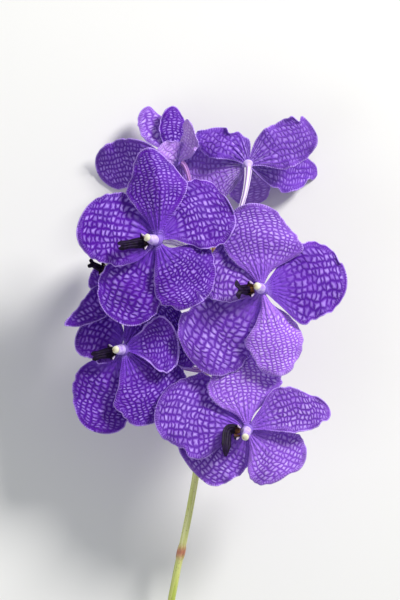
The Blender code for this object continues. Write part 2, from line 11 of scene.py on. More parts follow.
import bpy
import numpy as np
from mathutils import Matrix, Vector


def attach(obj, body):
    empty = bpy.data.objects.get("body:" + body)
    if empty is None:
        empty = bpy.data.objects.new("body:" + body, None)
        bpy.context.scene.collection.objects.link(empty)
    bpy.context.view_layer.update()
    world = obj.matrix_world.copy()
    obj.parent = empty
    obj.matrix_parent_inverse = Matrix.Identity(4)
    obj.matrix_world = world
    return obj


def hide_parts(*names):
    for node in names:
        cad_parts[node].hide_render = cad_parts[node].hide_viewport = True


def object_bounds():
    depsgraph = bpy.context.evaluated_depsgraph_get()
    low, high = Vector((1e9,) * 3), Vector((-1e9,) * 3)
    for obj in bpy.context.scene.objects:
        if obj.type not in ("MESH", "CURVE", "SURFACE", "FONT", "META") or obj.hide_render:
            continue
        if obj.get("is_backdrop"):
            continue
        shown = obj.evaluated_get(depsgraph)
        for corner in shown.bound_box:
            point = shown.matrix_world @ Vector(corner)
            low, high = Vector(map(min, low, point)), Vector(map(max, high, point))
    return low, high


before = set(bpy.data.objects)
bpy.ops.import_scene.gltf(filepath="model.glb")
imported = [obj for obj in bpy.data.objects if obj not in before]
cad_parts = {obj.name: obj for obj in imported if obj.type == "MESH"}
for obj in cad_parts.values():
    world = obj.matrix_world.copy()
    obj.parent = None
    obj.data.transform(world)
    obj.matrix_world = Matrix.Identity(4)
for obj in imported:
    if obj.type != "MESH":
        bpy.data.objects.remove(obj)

cad_low, cad_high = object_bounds()
print("nodes:", len(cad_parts), "size:", [round(x, 4) for x in cad_high - cad_low])

# %% [markdown]
# ## Units and small sums
# The tables could be in metres, as Blender's scene is, but a petal is easier to read in
# millimetres. They count from the point of the surface under the middle of the photograph, and
# one shift takes them to the frame, whose origin is under the middle of the flower.

# %% Units and small sums
MM = 0.001
PHOTO_MIDDLE = np.array((-3.196, 95.667, 0.0015))


def unit(v):
    v = np.asarray(v, float)
    return v / np.linalg.norm(v, axis=-1, keepdims=True)


def turned(v, axis, degrees):
    """v turned about a unit axis, by one angle or by one for each row."""
    a = np.radians(np.asarray(degrees, float))[..., None]
    dot = np.sum(axis * v, axis=-1, keepdims=True)
    return v * np.cos(a) + np.cross(axis, v) * np.sin(a) + axis * dot * (1 - np.cos(a))


def step(low, high, x):
    """0 below low, 1 above high, and a smooth rise between."""
    s = np.clip((x - low) / (high - low), 0, 1)
    return s * s * (3 - 2 * s)


def bump_at(value, middle, width):
    """1 at the middle and 0 far from it, on a bell curve."""
    return np.exp(-((value - middle) / width) ** 2)


print("the tables' origin in the frame:", PHOTO_MIDDLE, "mm")

# %% [markdown]
# ## From a grid to a piece
# A petal, a column and a stalk are each one skin that bends in space. It could be sculpted by
# hand or extruded row by row. Here a grid primitive is added, and a formula moves each vertex by
# its two shares of the grid, so one recipe serves for many pieces.

# %% Grid helpers
MERGE_REACH = 1e-6        # metres between two vertices that become one
MAP_SHARE = 0.01          # what the numbers of a map are multiplied by, to keep them small


def only(obj):
    """Selects one object alone, because an operator acts on all that is selected."""
    bpy.ops.object.select_all(action="DESELECT")
    obj.select_set(True)
    bpy.context.view_layer.objects.active = obj


def flat_grid(name, columns, rows):
    """A new grid primitive, with its places as two numbers from 0 to 1 for each vertex."""
    bpy.ops.object.select_all(action="DESELECT")
    bpy.ops.mesh.primitive_grid_add(x_subdivisions=columns, y_subdivisions=rows, size=1)
    obj = bpy.context.object
    obj.name = obj.data.name = name
    places = np.empty(len(obj.data.vertices) * 3)
    obj.data.vertices.foreach_get("co", places)
    places = places.reshape(-1, 3)[:, :2] + 0.5
    return obj, places[:, 0], places[:, 1]


def move_to(obj, points):
    """Puts the vertices at points given in the tables' millimetres."""
    obj.data.vertices.foreach_set("co", ((points + PHOTO_MIDDLE) * MM).ravel())
    obj.data.update()


def write_map(obj, name, across, along):
    """A UV map with two numbers for each vertex."""
    mesh = obj.data
    layer = mesh.uv_layers.get(name) or mesh.uv_layers.new(name=name)
    corners = np.empty(len(mesh.loops), int)
    mesh.loops.foreach_get("vertex_index", corners)
    places = np.column_stack([np.broadcast_to(n, len(mesh.vertices)) for n in (across, along)])
    layer.data.foreach_set("uv", (places * MAP_SHARE)[corners].ravel())


def write_value(obj, name, values):
    """One number for each vertex, for the materials to read."""
    mesh = obj.data
    layer = mesh.attributes.get(name) or mesh.attributes.new(name, "FLOAT", "POINT")
    layer.data.foreach_set("value", np.broadcast_to(values, len(mesh.vertices)).astype(np.float32))


def merge_doubles(obj, closed=False):
    """Merges the rows and edges that meet, and turns a closed piece's faces outwards."""
    only(obj)
    bpy.ops.object.mode_set(mode="EDIT")
    bpy.ops.mesh.select_all(action="SELECT")
    bpy.ops.mesh.remove_doubles(threshold=MERGE_REACH)
    if closed:
        bpy.ops.mesh.normals_make_consistent(inside=False)
    bpy.ops.object.mode_set(mode="OBJECT")


def hand_over(obj, node, material=None):
    """The finished piece gets its material and stands for a CAD node."""
    if material is not None:
        obj.data.materials.clear()
        obj.data.materials.append(material)
    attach(obj, "root")
    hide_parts(node)


print("vertices merge within", MERGE_REACH / MM, "mm")

# %% [markdown]
# ## The camera
# The photograph shows the spike upright from the front, and a level camera could look at it so.
# Here the flower lies down, so the same view is from straight above. The picture is 600 pixels
# tall and takes in 360 mm at the height of the blooms.

# %% Make the camera
CAMERA_HEIGHT = 2.0
BLOOM_HEIGHT = 0.09
PICTURE_HEIGHT = 0.36
SENSOR = 36.0

camera_data = bpy.data.cameras.new("camera")
camera = bpy.data.objects.new("camera", camera_data)
bpy.context.scene.collection.objects.link(camera)
camera.location = (PHOTO_MIDDLE[0] * MM, PHOTO_MIDDLE[1] * MM, CAMERA_HEIGHT)
camera_data.sensor_width = SENSOR
camera_data.lens = SENSOR * (CAMERA_HEIGHT - BLOOM_HEIGHT) / PICTURE_HEIGHT
bpy.context.scene.camera = camera
print("lens:", round(camera_data.lens, 1), "mm")

# %% [markdown]
# ## Nodes for the materials
# Every finish below is worked out by nodes. They could be placed and joined one by one, as in the
# shader editor. These helpers each add one node, or one small sum, and keep the cells short.

# %% Helpers for numbers and colours


def plug(tree, value, socket):
    """A value set on a socket, or another node's output joined to it."""
    if isinstance(value, bpy.types.NodeSocket):
        tree.links.new(value, socket)
    else:
        socket.default_value = value


def add_node(tree, kind, inputs=None, **settings):
    node = tree.nodes.new("ShaderNode" + kind)
    for key, value in settings.items():
        setattr(node, key, value)
    for key, value in (inputs or {}).items():
        plug(tree, value, node.inputs[key])
    return node


def sum_of(tree, operation, *values):
    """The result of one Math node."""
    return add_node(tree, "Math", dict(enumerate(values)), operation=operation).outputs[0]


def rest_of(tree, share):
    """What a share leaves of 1."""
    return sum_of(tree, "SUBTRACT", 1.0, share)


def scaled(tree, *values):
    """The product of several values."""
    total = values[0]
    for value in values[1:]:
        total = sum_of(tree, "MULTIPLY", total, value)
    return total


def ranged(tree, value, low, high):
    """A value from 0 to 1 taken to the range from low to high."""
    return sum_of(tree, "MULTIPLY_ADD", value, high - low, low)


def rise(tree, value, low, high):
    """0 below low and 1 above high, smooth between."""
    settings = {"Value": value, "From Min": low, "From Max": high}
    return add_node(tree, "MapRange", settings, interpolation_type="SMOOTHSTEP").outputs[0]


def blend(tree, share, first, second):
    """Two colours mixed by a share. Sockets 6, 7 and 2 are the ones for colours."""
    inputs = {"Factor": share, 6: first, 7: second}
    return add_node(tree, "Mix", inputs, data_type="RGBA").outputs[2]


def colour(red, green, blue):
    """A colour picked in the photograph's own 0 to 255, as Blender's linear light."""
    channels = [c / 255 for c in (red, green, blue)]
    linear = [c / 12.92 if c <= 0.04045 else ((c + 0.055) / 1.055) ** 2.4 for c in channels]
    return (*linear, 1)


print("middle grey in linear light:", round(colour(128, 128, 128)[0], 3))

# %% Helpers for vectors and noise


def vector_of(tree, *parts):
    return add_node(tree, "CombineXYZ", dict(enumerate(parts))).outputs[0]


def parts_of(tree, vector):
    return add_node(tree, "SeparateXYZ", {0: vector}).outputs


def vector_sum(tree, operation, first, second):
    """The result of one Vector Math node. SCALE takes its factor in socket 3."""
    inputs = {0: first, 3 if operation == "SCALE" else 1: second}
    return add_node(tree, "VectorMath", inputs, operation=operation).outputs[0]


def object_noise(tree, scale, detail):
    """Noise that stays where it is on the piece."""
    place = add_node(tree, "TexCoord").outputs["Object"]
    noise = add_node(tree, "TexNoise", {"Vector": place, "Scale": scale, "Detail": detail})
    return noise.outputs["Fac"]


def read_value(tree, name):
    return add_node(tree, "Attribute", attribute_name=name).outputs["Fac"]


def read_map(tree, name):
    """The two numbers of a UV map, back in the units that it was written in."""
    place = add_node(tree, "UVMap", uv_map=name).outputs[0]
    parts = parts_of(tree, vector_sum(tree, "SCALE", place, 1 / MAP_SHARE))
    return parts[0], parts[1]


print("maps are read back times", 1 / MAP_SHARE)

# %% Helpers for groups and materials


def start_group(name, inputs, outputs):
    """A node group with named numbers in and out, and the sockets of its two end nodes."""
    tree = bpy.data.node_groups.new(name, "ShaderNodeTree")
    for label, default in inputs.items():
        socket = tree.interface.new_socket(label, in_out="INPUT", socket_type="NodeSocketFloat")
        socket.default_value = default
    for label in outputs:
        tree.interface.new_socket(label, in_out="OUTPUT", socket_type="NodeSocketFloat")
    return tree, tree.nodes.new("NodeGroupInput").outputs, tree.nodes.new("NodeGroupOutput").inputs


def use_group(tree, group, **inputs):
    node = tree.nodes.new("ShaderNodeGroup")
    node.node_tree = group
    for key, value in inputs.items():
        plug(tree, value, node.inputs[key])
    return node.outputs


def start_material(name, **constants):
    """A new material, its node tree and its shader, with the even values set on the shader."""
    material = bpy.data.materials.new(name)
    material.use_nodes = True
    tree = material.node_tree
    shader = tree.nodes["Principled BSDF"]
    for key, value in constants.items():
        shader.inputs[key.replace("_", " ")].default_value = value
    return material, tree, shader


def end_material(tree, shader, base, height, depth):
    """Joins the colour and the low relief, whose depth is in metres, to the shader."""
    plug(tree, base, shader.inputs["Base Color"])
    bump = add_node(tree, "Bump", {"Height": height, "Distance": depth, "Strength": 1.0})
    tree.links.new(bump.outputs[0], shader.inputs["Normal"])


print("materials that came with the frame:", len(bpy.data.materials))

# %% [markdown]
# ## The net of veins
# The look of this orchid is its tessellation: dark veins run out from the claw of each tepal,
# shorter ones cross them, and soft pale cells show between. It could be painted as a picture for
# each tepal. A Voronoi pattern of low randomness needs none and keeps its cells in rows, as the
# veins do, and noise bends the rows. The group takes places in millimetres, so a cell has the
# same size on every blade.

# %% Make the vein group
BLADE_NET = {"Width": 4.2, "Length": 2.7, "Wobble": 2.8, "Chaos": 0.42}
RIM_NET = {"Width": 1.4, "Length": 3.4, "Wobble": 1.0, "Chaos": 0.35}
NET_WAVES = ((0.07, 2.0), (0.35, 0.6))      # scale of each noise, and its share of the wobble
SEED_STEP = 31.7


def make_vein_group():
    inputs = {"Across": 0.0, "Along": 0.0, "Seed": 0.0, **BLADE_NET}
    tree, given, out = start_group("vein_net", inputs, ("Vein", "Cell", "Tone", "Main"))
    place = vector_of(tree, given["Across"], given["Along"], given["Seed"])
    total = place
    for scale, size in NET_WAVES:
        noise = add_node(tree, "TexNoise", {"Vector": place, "Scale": scale, "Detail": 1.0})
        centred = vector_sum(tree, "SUBTRACT", noise.outputs["Color"], (0.5, 0.5, 0.5))
        bent = vector_sum(tree, "SCALE", centred, scaled(tree, given["Wobble"], size))
        total = vector_sum(tree, "ADD", total, bent)
    parts = parts_of(tree, total)
    across = sum_of(tree, "DIVIDE", parts[0], given["Width"])
    along = sum_of(tree, "DIVIDE", parts[1], given["Length"])
    apart = scaled(tree, given["Seed"], SEED_STEP)
    cell_place = vector_of(tree, across, sum_of(tree, "ADD", along, apart))
    settings = {"Vector": cell_place, "Scale": 1.0, "Randomness": given["Chaos"]}
    border, cell = [add_node(tree, "TexVoronoi", settings, voronoi_dimensions="2D", feature=feature)
                    for feature in ("DISTANCE_TO_EDGE", "F1")]
    far = border.outputs["Distance"]
    tone = add_node(tree, "SeparateColor", {0: cell.outputs["Color"]}).outputs[0]
    line = sum_of(tree, "ABSOLUTE", sum_of(tree, "SUBTRACT", sum_of(tree, "FRACT", across), 0.5))
    plug(tree, rest_of(tree, rise(tree, far, 0.0, 0.27)), out["Vein"])
    plug(tree, rise(tree, far, 0.07, 0.46), out["Cell"])
    plug(tree, tone, out["Tone"])
    plug(tree, rise(tree, line, 0.2, 0.5), out["Main"])
    return tree


vein_net = make_vein_group()
print("group:", vein_net.name, "with", len(vein_net.nodes), "nodes")

# %% [markdown]
# ## The tepals' two finishes
# A tepal is violet with pale cells on its open side, plain at the claw, and paler along its very
# margin, where short stripes stand square to the edge. Its back is paler, pinker and softer. One
# material could mix both by the side that is seen. Two plain ones that share the group are
# easier to read, and Solidify can give the second one to the back.

# %% The net on a blade
RIM_EDGE = (0.3, 0.85)    # millimetres from the margin in which its pale hem fades out


def net_on_blade(tree):
    """Masks that show the net in the middle of a blade and fine stripes along its margin."""
    across, along = read_map(tree, "net")
    arc, inside = read_map(tree, "rim")
    seed = read_value(tree, "seed")
    wide = use_group(tree, vein_net, Across=across, Along=along, Seed=seed)
    edge = use_group(tree, vein_net, Across=arc, Along=inside, Seed=seed, **RIM_NET)
    noise = object_noise(tree, scale=110.0, detail=2.0)
    middle = rise(tree, sum_of(tree, "ADD", inside, scaled(tree, noise, 4.0)), 3.2, 5.6)
    masks = {"Main": wide["Main"], "Middle": middle, "Inside": inside, "Noise": noise}
    for name in ("Vein", "Cell", "Tone"):
        mix = add_node(tree, "Mix", {0: middle, 2: edge[name], 3: wide[name]}, data_type="FLOAT")
        masks[name] = mix.outputs[0]
    return masks


# %% Make the finish of the open side
DEEP_VIOLET = colour(68, 4, 140)
VIOLET = colour(98, 24, 174)
DARK_VIOLET = colour(78, 12, 152)
PALE_CELL = colour(180, 146, 240)
CLAW_VIOLET = colour(116, 62, 196)
CLAW_LILAC = colour(164, 128, 228)
# LIT_VIOLET, LIT_VEIN and LIT_CELL are lit copies of the colours: painted light, blended in by the
# pale attribute
LIT_VIOLET = colour(172, 118, 236)
LIT_VEIN = colour(116, 46, 194)
LIT_CELL = colour(222, 200, 255)
RIM = colour(186, 150, 242)


def make_tepal_front():
    material, tree, shader = start_material("tepal_front", Roughness=0.5, Specular_IOR_Level=0.2)
    masks = net_on_blade(tree)
    along = read_value(tree, "along")
    # The pale attribute carries painted light: it moves the ground, the cells and the veins to
    # their lit copies
    lit = read_value(tree, "pale")
    open_part = rise(tree, along, 0.16, 0.42)
    patches = rise(tree, object_noise(tree, scale=45.0, detail=1.0), 0.3, 0.6)
    strength = scaled(tree, ranged(tree, masks["Tone"], 0.35, 1.05),
                      ranged(tree, masks["Middle"], 0.35, 0.95), ranged(tree, patches, 0.6, 1.0))
    cells = scaled(tree, masks["Cell"], strength, open_part)
    violet = blend(tree, rise(tree, masks["Noise"], 0.3, 0.7), VIOLET, DARK_VIOLET)
    claw = blend(tree, rise(tree, along, 0.03, 0.14), CLAW_LILAC, CLAW_VIOLET)
    ground = blend(tree, lit, blend(tree, open_part, claw, violet), LIT_VIOLET)
    tinted = blend(tree, cells, ground, blend(tree, lit, PALE_CELL, LIT_CELL))
    net_lines = scaled(tree, masks["Vein"], open_part, ranged(tree, masks["Middle"], 0.4, 0.7))
    claw_lines = scaled(tree, masks["Main"], rest_of(tree, open_part), 0.4)
    lines = sum_of(tree, "MAXIMUM", net_lines, claw_lines)
    veined = blend(tree, lines, tinted, blend(tree, scaled(tree, lit, lit), DEEP_VIOLET, LIT_VEIN))
    hem = sum_of(tree, "DIVIDE", masks["Inside"], read_value(tree, "hem"))
    edge = scaled(tree, rest_of(tree, rise(tree, hem, *RIM_EDGE)), open_part, 0.9)
    relief = sum_of(tree, "SUBTRACT", masks["Cell"], masks["Vein"])
    end_material(tree, shader, blend(tree, edge, veined, RIM), relief, 0.00018)
    return material


tepal_front = make_tepal_front()
print("material:", tepal_front.name)

# %% Make the finish of the back
BACK_LILAC = colour(116, 60, 190)
BACK_DARK = colour(100, 46, 176)
BACK_CELL = colour(176, 136, 238)
BACK_VEIN = colour(92, 34, 168)
BACK_STREAK = colour(206, 186, 238)
# A lit copy of the back's ground colour: painted light
LIT_LILAC = colour(206, 156, 250)


def make_tepal_back():
    material, tree, shader = start_material("tepal_back", Roughness=0.6, Specular_IOR_Level=0.3)
    masks = net_on_blade(tree)
    # The pale attribute carries painted light: lit copies of the ground, cells and veins, and
    # streaks by the claw that show more on a lit tepal
    lit = read_value(tree, "pale")
    violet = blend(tree, rise(tree, masks["Noise"], 0.3, 0.7), BACK_LILAC, BACK_DARK)
    ground = blend(tree, lit, violet, LIT_LILAC)
    cells = scaled(tree, masks["Cell"], ranged(tree, masks["Tone"], 0.35, 1.0),
                   ranged(tree, masks["Middle"], 0.4, 0.95))
    tinted = blend(tree, cells, ground, blend(tree, lit, BACK_CELL, LIT_CELL))
    vein = blend(tree, lit, BACK_VEIN, BACK_LILAC)
    veined = blend(tree, scaled(tree, masks["Vein"], 0.35), tinted, vein)
    near_claw = rest_of(tree, rise(tree, read_value(tree, "along"), 0.14, 0.4))
    streaks = ranged(tree, rise(tree, lit, 0.0, 0.35), 0.3, 0.9)
    veined = blend(tree, scaled(tree, masks["Main"], near_claw, streaks), veined, BACK_STREAK)
    edge = scaled(tree, rest_of(tree, rise(tree, masks["Inside"], *RIM_EDGE)), 0.8)
    end_material(tree, shader, blend(tree, edge, veined, RIM), masks["Vein"], 0.0003)
    return material


tepal_back = make_tepal_back()
print("material:", tepal_back.name)

# %% [markdown]
# ## The shape of a tepal
# Each of the five tepals of a bloom is a thin blade on a narrow claw. It could be drawn as a flat
# outline and bent afterwards. Here one formula gives a surface with two numbers, u from claw to
# tip and v from margin to margin, so each word in a tepal's table has one clear meaning. The
# midline bends, the width opens and rounds off, and the margins cup, fold and ripple.

# %% What a tepal's table may say
STATIONS = np.array((0.15, 0.35, 0.55, 0.75, 0.93))     # where left and right give the fullness
STATION_REACH = 0.12
EVEN = (1, 1, 1, 1, 1)
TEPAL_FIELDS = dict(
    tip=(0, 50, 0), root=(0, 0, 0), width=40.0, turn=0.0, bow=0.0, sway=0.0,
    widest=0.6, blunt=2.1, claw=5.0, neck=1.5, fold=0.0, cup=0.0, wave=1.0, waves=2.5,
    phase=0.0, left=EVEN, right=EVEN, notch=0.0, hook=0.0, dents=(), rests=False,
)
Tepal = namedtuple("Tepal", ["name"] + list(TEPAL_FIELDS))


def tepal(name, **shape):
    return Tepal(name, **{**TEPAL_FIELDS, **shape})


print("words for a tepal:", ", ".join(TEPAL_FIELDS))

# %% From the table to points
FOLD_SOFTNESS = 0.02      # rounds off the fold along the midline
NOTCH_REACH = 0.16        # half width of the notch in a tip, as a share of the blade's


def half_width(t, u):
    """Share of the half width at u: a narrow claw that opens into a rounded blade."""
    narrow = t.claw / t.width * np.minimum(1.0, 0.5 + 4 * u)
    opening = np.clip(np.sin(np.minimum(u / t.widest, 1) * np.pi / 2), 0, 1)
    past = np.clip((u - t.widest) / (1 - t.widest), 0, 1)
    rounded = np.maximum(0.0, 1 - past ** t.blunt) ** (1 / t.blunt)
    return np.where(u < t.widest, narrow + (1 - narrow) * opening ** t.neck, rounded)


def fullness(t, u, v):
    """How much wider than the even outline the blade is at u, on the side of v."""
    weights = bump_at(u[:, None], STATIONS, STATION_REACH)
    sides = np.where(v[:, None] < 0, t.left, t.right)
    return (weights * sides).sum(axis=1) / weights.sum(axis=1)


def blade_points(t, u, v):
    """Points of the middle surface, for arrays of u and v, from the bloom's centre."""
    root = np.array(t.root, float)
    tip = np.array(t.tip, float)
    length = np.linalg.norm(tip - root)
    along = unit(tip - root)
    up = np.array([0.0, 0.0, 1.0])
    face = turned(unit(up - along * np.dot(up, along)), along, t.turn)
    side = np.cross(along, face)
    share = half_width(t, u)
    across = t.width / 2 * share * v * fullness(t, u, v)
    lift = t.cup * v * v + t.fold * (np.sqrt(v * v + FOLD_SOFTNESS) - 0.141)
    ripple = np.sin(2 * np.pi * (t.waves * u + t.phase + 0.15 * v))
    lift = lift + t.wave * ripple * np.abs(v) ** 2.5 * np.sign(v)
    for dent_u, dent_v, height, reach in t.dents:
        away = np.hypot((u - dent_u) * length, across - dent_v * t.width / 2)
        lift = lift + height * bump_at(away, 0, reach)
    pull = t.notch * bump_at(v, 0, NOTCH_REACH) * u ** 6
    bend = (4 * u * (1 - u))[:, None]
    middle = root + (tip - root) * u[:, None] - along * pull[:, None]
    middle = middle + bend * (t.bow * face + t.sway * side) - face * (t.hook * u ** 4)[:, None]
    return middle + side * across[:, None] + face * (lift * np.minimum(1.0, share) ** 1.2)[:, None]


# %% [markdown]
# ## The seven blooms
# Each bloom has its own centre, the way that it faces, where its column leans and where its lip
# ends. Its tepals are given from its centre. One bloom could be copied seven times, but on a
# real spike no two look alike from one side, so each has its own table.

# %% How a bloom is put together
BLADE_THICKNESS = 0.8     # of the solids that these pieces stand for
PHASE_STEP = 0.3          # between the ripples of two neighbouring tepals
Bloom = namedtuple("Bloom", "name centre facing column lip lip_roll tepals")
BLOOMS = []


def laid_down(t, height):
    """The same tepal with its tip lowered until the blade touches the surface."""
    shares = np.meshgrid(np.linspace(0.3, 1, 29), np.linspace(-1, 1, 25), indexing="ij")
    u, v = [a.ravel() for a in shares]
    for _ in range(6):      # again, because another point may then be the lowest
        heights = blade_points(t, u, v)[:, 2]
        lowest = heights.argmin()
        x, y, z = t.tip
        drop = (heights[lowest] + height - BLADE_THICKNESS / 2) / u[lowest]
        t = t._replace(tip=(x, y, z - drop))
    return t


def bloom(name, centre, facing, column, lip, lip_roll, *tepals):
    """Notes a bloom down: column and facing are directions, lip is the end of the lip's tongue."""
    tepals = [t._replace(phase=PHASE_STEP * i) for i, t in enumerate(tepals)]
    tepals = [laid_down(t, centre[2]) if t.rests else t for t in tepals]
    BLOOMS.append(Bloom(name, centre, facing, column, lip, lip_roll, tepals))
    print(name + ":", len(tepals), "tepals")


# %% The four blooms that face the viewer
bloom(
    "bloom_front", (-25.8, 36.0, 96.0), (-0.45, 0.0, 0.9), (-0.6, 0.2, 0.77), (-23.2, -4, 9.5), 0,
    tepal("dorsal", root=(0, 0, 1.2), tip=(-4.8, 55, 0), width=34, sway=5, fold=-11,
          blunt=2.2, bow=6.5, left=(1, 1.18, 1.27, 0.9, 0.85), right=(0.5, 0.83, 0.97, 0.72, 0.5)),
    tepal("petal_left", root=(0, 0, 0.4), tip=(-47.8, 7, -1), width=46, sway=4, widest=0.47,
          neck=0.9, turn=12, cup=-2, left=(1.1, 1, 1, 1, 0.95), right=(1.08, 1, 0.96, 0.98, 1.04),
          dents=((0.6, 0.3, -1.6, 9), (0.7, -0.5, 1.2, 8))),
    tepal("petal_right", root=(0, 0, 0.4), tip=(46.2, 16, -5), width=41, sway=-5, widest=0.58,
          neck=1.2, turn=-10, cup=-2, left=(1, 1, 1.1, 1.22, 1.45), right=(0.55, 0.8, 0.98, 1, 0.9),
          dents=((0.55, -0.4, 1.4, 10), (0.6, 0.55, -1.2, 8))),
    tepal("sepal_left", root=(0, 0, -1.1), tip=(-22, -50, -7), width=40, sway=3, widest=0.58,
          blunt=2.3, bow=-1, cup=-1, left=(1, 1, 1, 1.03, 0.93), right=(1, 1, 0.97, 1, 1.02),
          dents=((0.6, 0.4, 1.2, 9),)),
    tepal("sepal_right", root=(0, 0, -0.3), tip=(28.2, -36, -4), width=38, widest=0.58, notch=4,
          turn=-8, cup=-4, bow=0.5, left=(0.25, 1.2, 1.2, 1.03, 0.95),
          right=(1, 1, 1.08, 1.18, 1.2), dents=((0.82, 0, -1.6, 6),)),
)
bloom(
    "bloom_right", (37.2, 6.6, 84.0), (-0.25, 0.1, 0.95), (-0.3, 0.2, 0.93), (-16, -0.4, 12), 0,
    tepal("dorsal", root=(0, 0, 1), tip=(-7, 51.5, -2), width=45, sway=2.5, blunt=1.95, bow=2,
          cup=-3, left=(0.85, 1, 1, 1, 1), right=(0.45, 1.5, 1, 0.8, 0.88),
          dents=((0.6, -0.5, -1.4, 8),)),
    tepal("petal_left", root=(0, 0, 0.5), tip=(-35, 9, -4), width=36, turn=10,
          left=(1, 0.8, 0.75, 0.8, 0.9), right=(1, 1.3, 1.35, 1.5, 1.6)),
    tepal("petal_right", root=(0, 0, 0.5), tip=(51.1, 7.8, -2), width=46, sway=-1, widest=0.58,
          turn=-8, cup=-2, left=(1, 1.15, 1, 1.06, 1), right=(1.35, 1.38, 1.04, 0.96, 0.92),
          dents=((0.6, -0.4, 1.4, 9), (0.5, 0.4, -1.4, 9))),
    tepal("sepal_left", root=(0, 0, -1), tip=(-36.5, -49, -6), width=45, sway=7, neck=1.0,
          widest=0.58, bow=-2, cup=-2, left=(1, 1, 1.1, 1.15, 1), right=(1, 1, 0.9, 1.12, 1.25),
          dents=((0.5, 0.3, -1.4, 10), (0.75, -0.5, 1.2, 8))),
    tepal("sepal_right", root=(0, 0, -0.5), tip=(12, -52, 0), width=35, bow=2.5, turn=-6, cup=-4.5,
          left=(0.45, 0.95, 1.02, 1, 0.88), right=(0.3, 0.6, 1.02, 0.82, 0.95)),
)
bloom(
    "bloom_low", (28.8, -78.0, 77.0), (-0.2, -0.3, 0.93), (-0.1, -0.5, 0.86), (-13.2, -16.2, 9), 0,
    tepal("dorsal", root=(0, 0, 0.5), tip=(-5, 45, -4), width=44, bow=1, cup=-1,
          left=(0.5, 1, 1, 0.88, 0.9), right=(0.5, 0.8, 1.08, 1.15, 1.1)),
    tepal("petal_left", root=(0, 0, -0.5), tip=(-56, 11, -4), width=50, sway=1, turn=14, cup=-2,
          left=(1.1, 1.2, 1, 0.76, 0.82), right=(1, 1.08, 1.15, 1, 1),
          dents=((0.55, 0.3, -1.5, 10), (0.7, -0.4, 1.3, 9))),
    tepal("petal_right", root=(0, 0, 1), tip=(49.8, 10.8, 3), width=25, sway=-5, widest=0.55,
          bow=2, cup=2, hook=2, left=(1.1, 1.45, 1.25, 1, 1), right=(0.9, 0.95, 1.02, 1.08, 1)),
    tepal("sepal_left", root=(0, 0, -1), tip=(-25, -33, -7), width=34, bow=-2,
          left=(1, 1, 0.82, 0.68, 0.65), right=(1, 1.3, 1.72, 1.85, 1.9)),
    tepal("sepal_right", root=(0, 0, -0.5), tip=(33, -23, -4), width=37, sway=4, turn=-8, cup=-3,
          left=(1, 1, 1.02, 1.02, 1), right=(0.7, 1.25, 1.08, 1, 0.55)),
)
bloom(
    "bloom_left", (-46.2, -30.0, 69.0), (-0.4, 0.0, 0.9), (-0.45, 0.0, 0.89), (-19.5, -4.4, 7), 0,
    tepal("dorsal", root=(0, 0, 0.5), tip=(31, 27, -6), width=44, cup=-1,
          right=(0.8, 1.3, 1.65, 1.6, 1.5)),
    tepal("petal_left", root=(0, 0, -0.5), tip=(-29.5, 7, -4), width=40, neck=0.8, turn=20,
          left=(0.9, 0.72, 0.55, 0.55, 0.62), right=(1.3, 1.2, 1.1, 0.95, 0.9)),
    tepal("petal_right", root=(0, 0, 1), tip=(33, 6, 3), width=34, bow=1, cup=4, turn=6,
          left=(0.9, 0.7, 0.85, 1.05, 1.15), right=(0.5, 0.6, 0.95, 1.12, 1.25)),
    tepal("sepal_left", root=(0, 0, -1), tip=(-19, -49.8, -9), width=35, sway=3, neck=1.0, bow=-2,
          blunt=2.4, left=(1, 1, 1.05, 1.2, 1.2), right=(1.1, 1.2, 1.1, 0.95, 0.86)),
    tepal("sepal_right", root=(0, 0, 0), tip=(22.8, -42.6, -4), width=44, sway=-2, cup=-1, turn=-8,
          bow=1, left=(1, 1.05, 1.12, 1.05, 1), right=(1, 0.9, 1.08, 1, 1.15),
          dents=((0.6, 0.5, 1.3, 8),)),
)

# %% [markdown]
# ## The three blooms seen from the side or behind
# One bloom looks out sideways behind the front one, and two at the top of the spike are seen from
# the side and from behind. Turning a whole open bloom would be quicker, but its tepals would
# cross the other blooms. So these have tables too, and the tips that rest on the surface are
# laid down on it.

# %% The three other blooms
bloom(
    "bloom_side", (-51.5, 16.4, 54.0), (-0.5, 0.35, 0.75), (-0.3, 0.8, 0.5), (-16.5, 6.5, 6), 0,
    tepal("sepal_left", root=(0, -1, 0), tip=(-30.4, -31.6, 20), width=20, sway=-6, blunt=1.5,
          bow=3, turn=10, claw=4, left=(1, 0.9, 0.85, 0.85, 0.9), right=(1.2, 1.2, 0.9, 0.7, 0.7)),
    tepal("petal_low", root=(0, -1, -1.5), tip=(-16.5, -8.3, -6), width=14, claw=3,
          left=(1, 0.6, 0.5, 0.5, 0.6), right=(1, 1.2, 1.35, 1.1, 0.9)),
    tepal("petal_high", root=(0, 1, -1), tip=(-8.5, 35, 2), width=27, turn=-20, claw=4),
    tepal("dorsal", root=(0, 0, -1), tip=(7.5, 27, -26), width=26, claw=4),
    tepal("sepal_back", root=(-1, -1.5, 0), tip=(-9, -17, -26), width=15, claw=4),
)
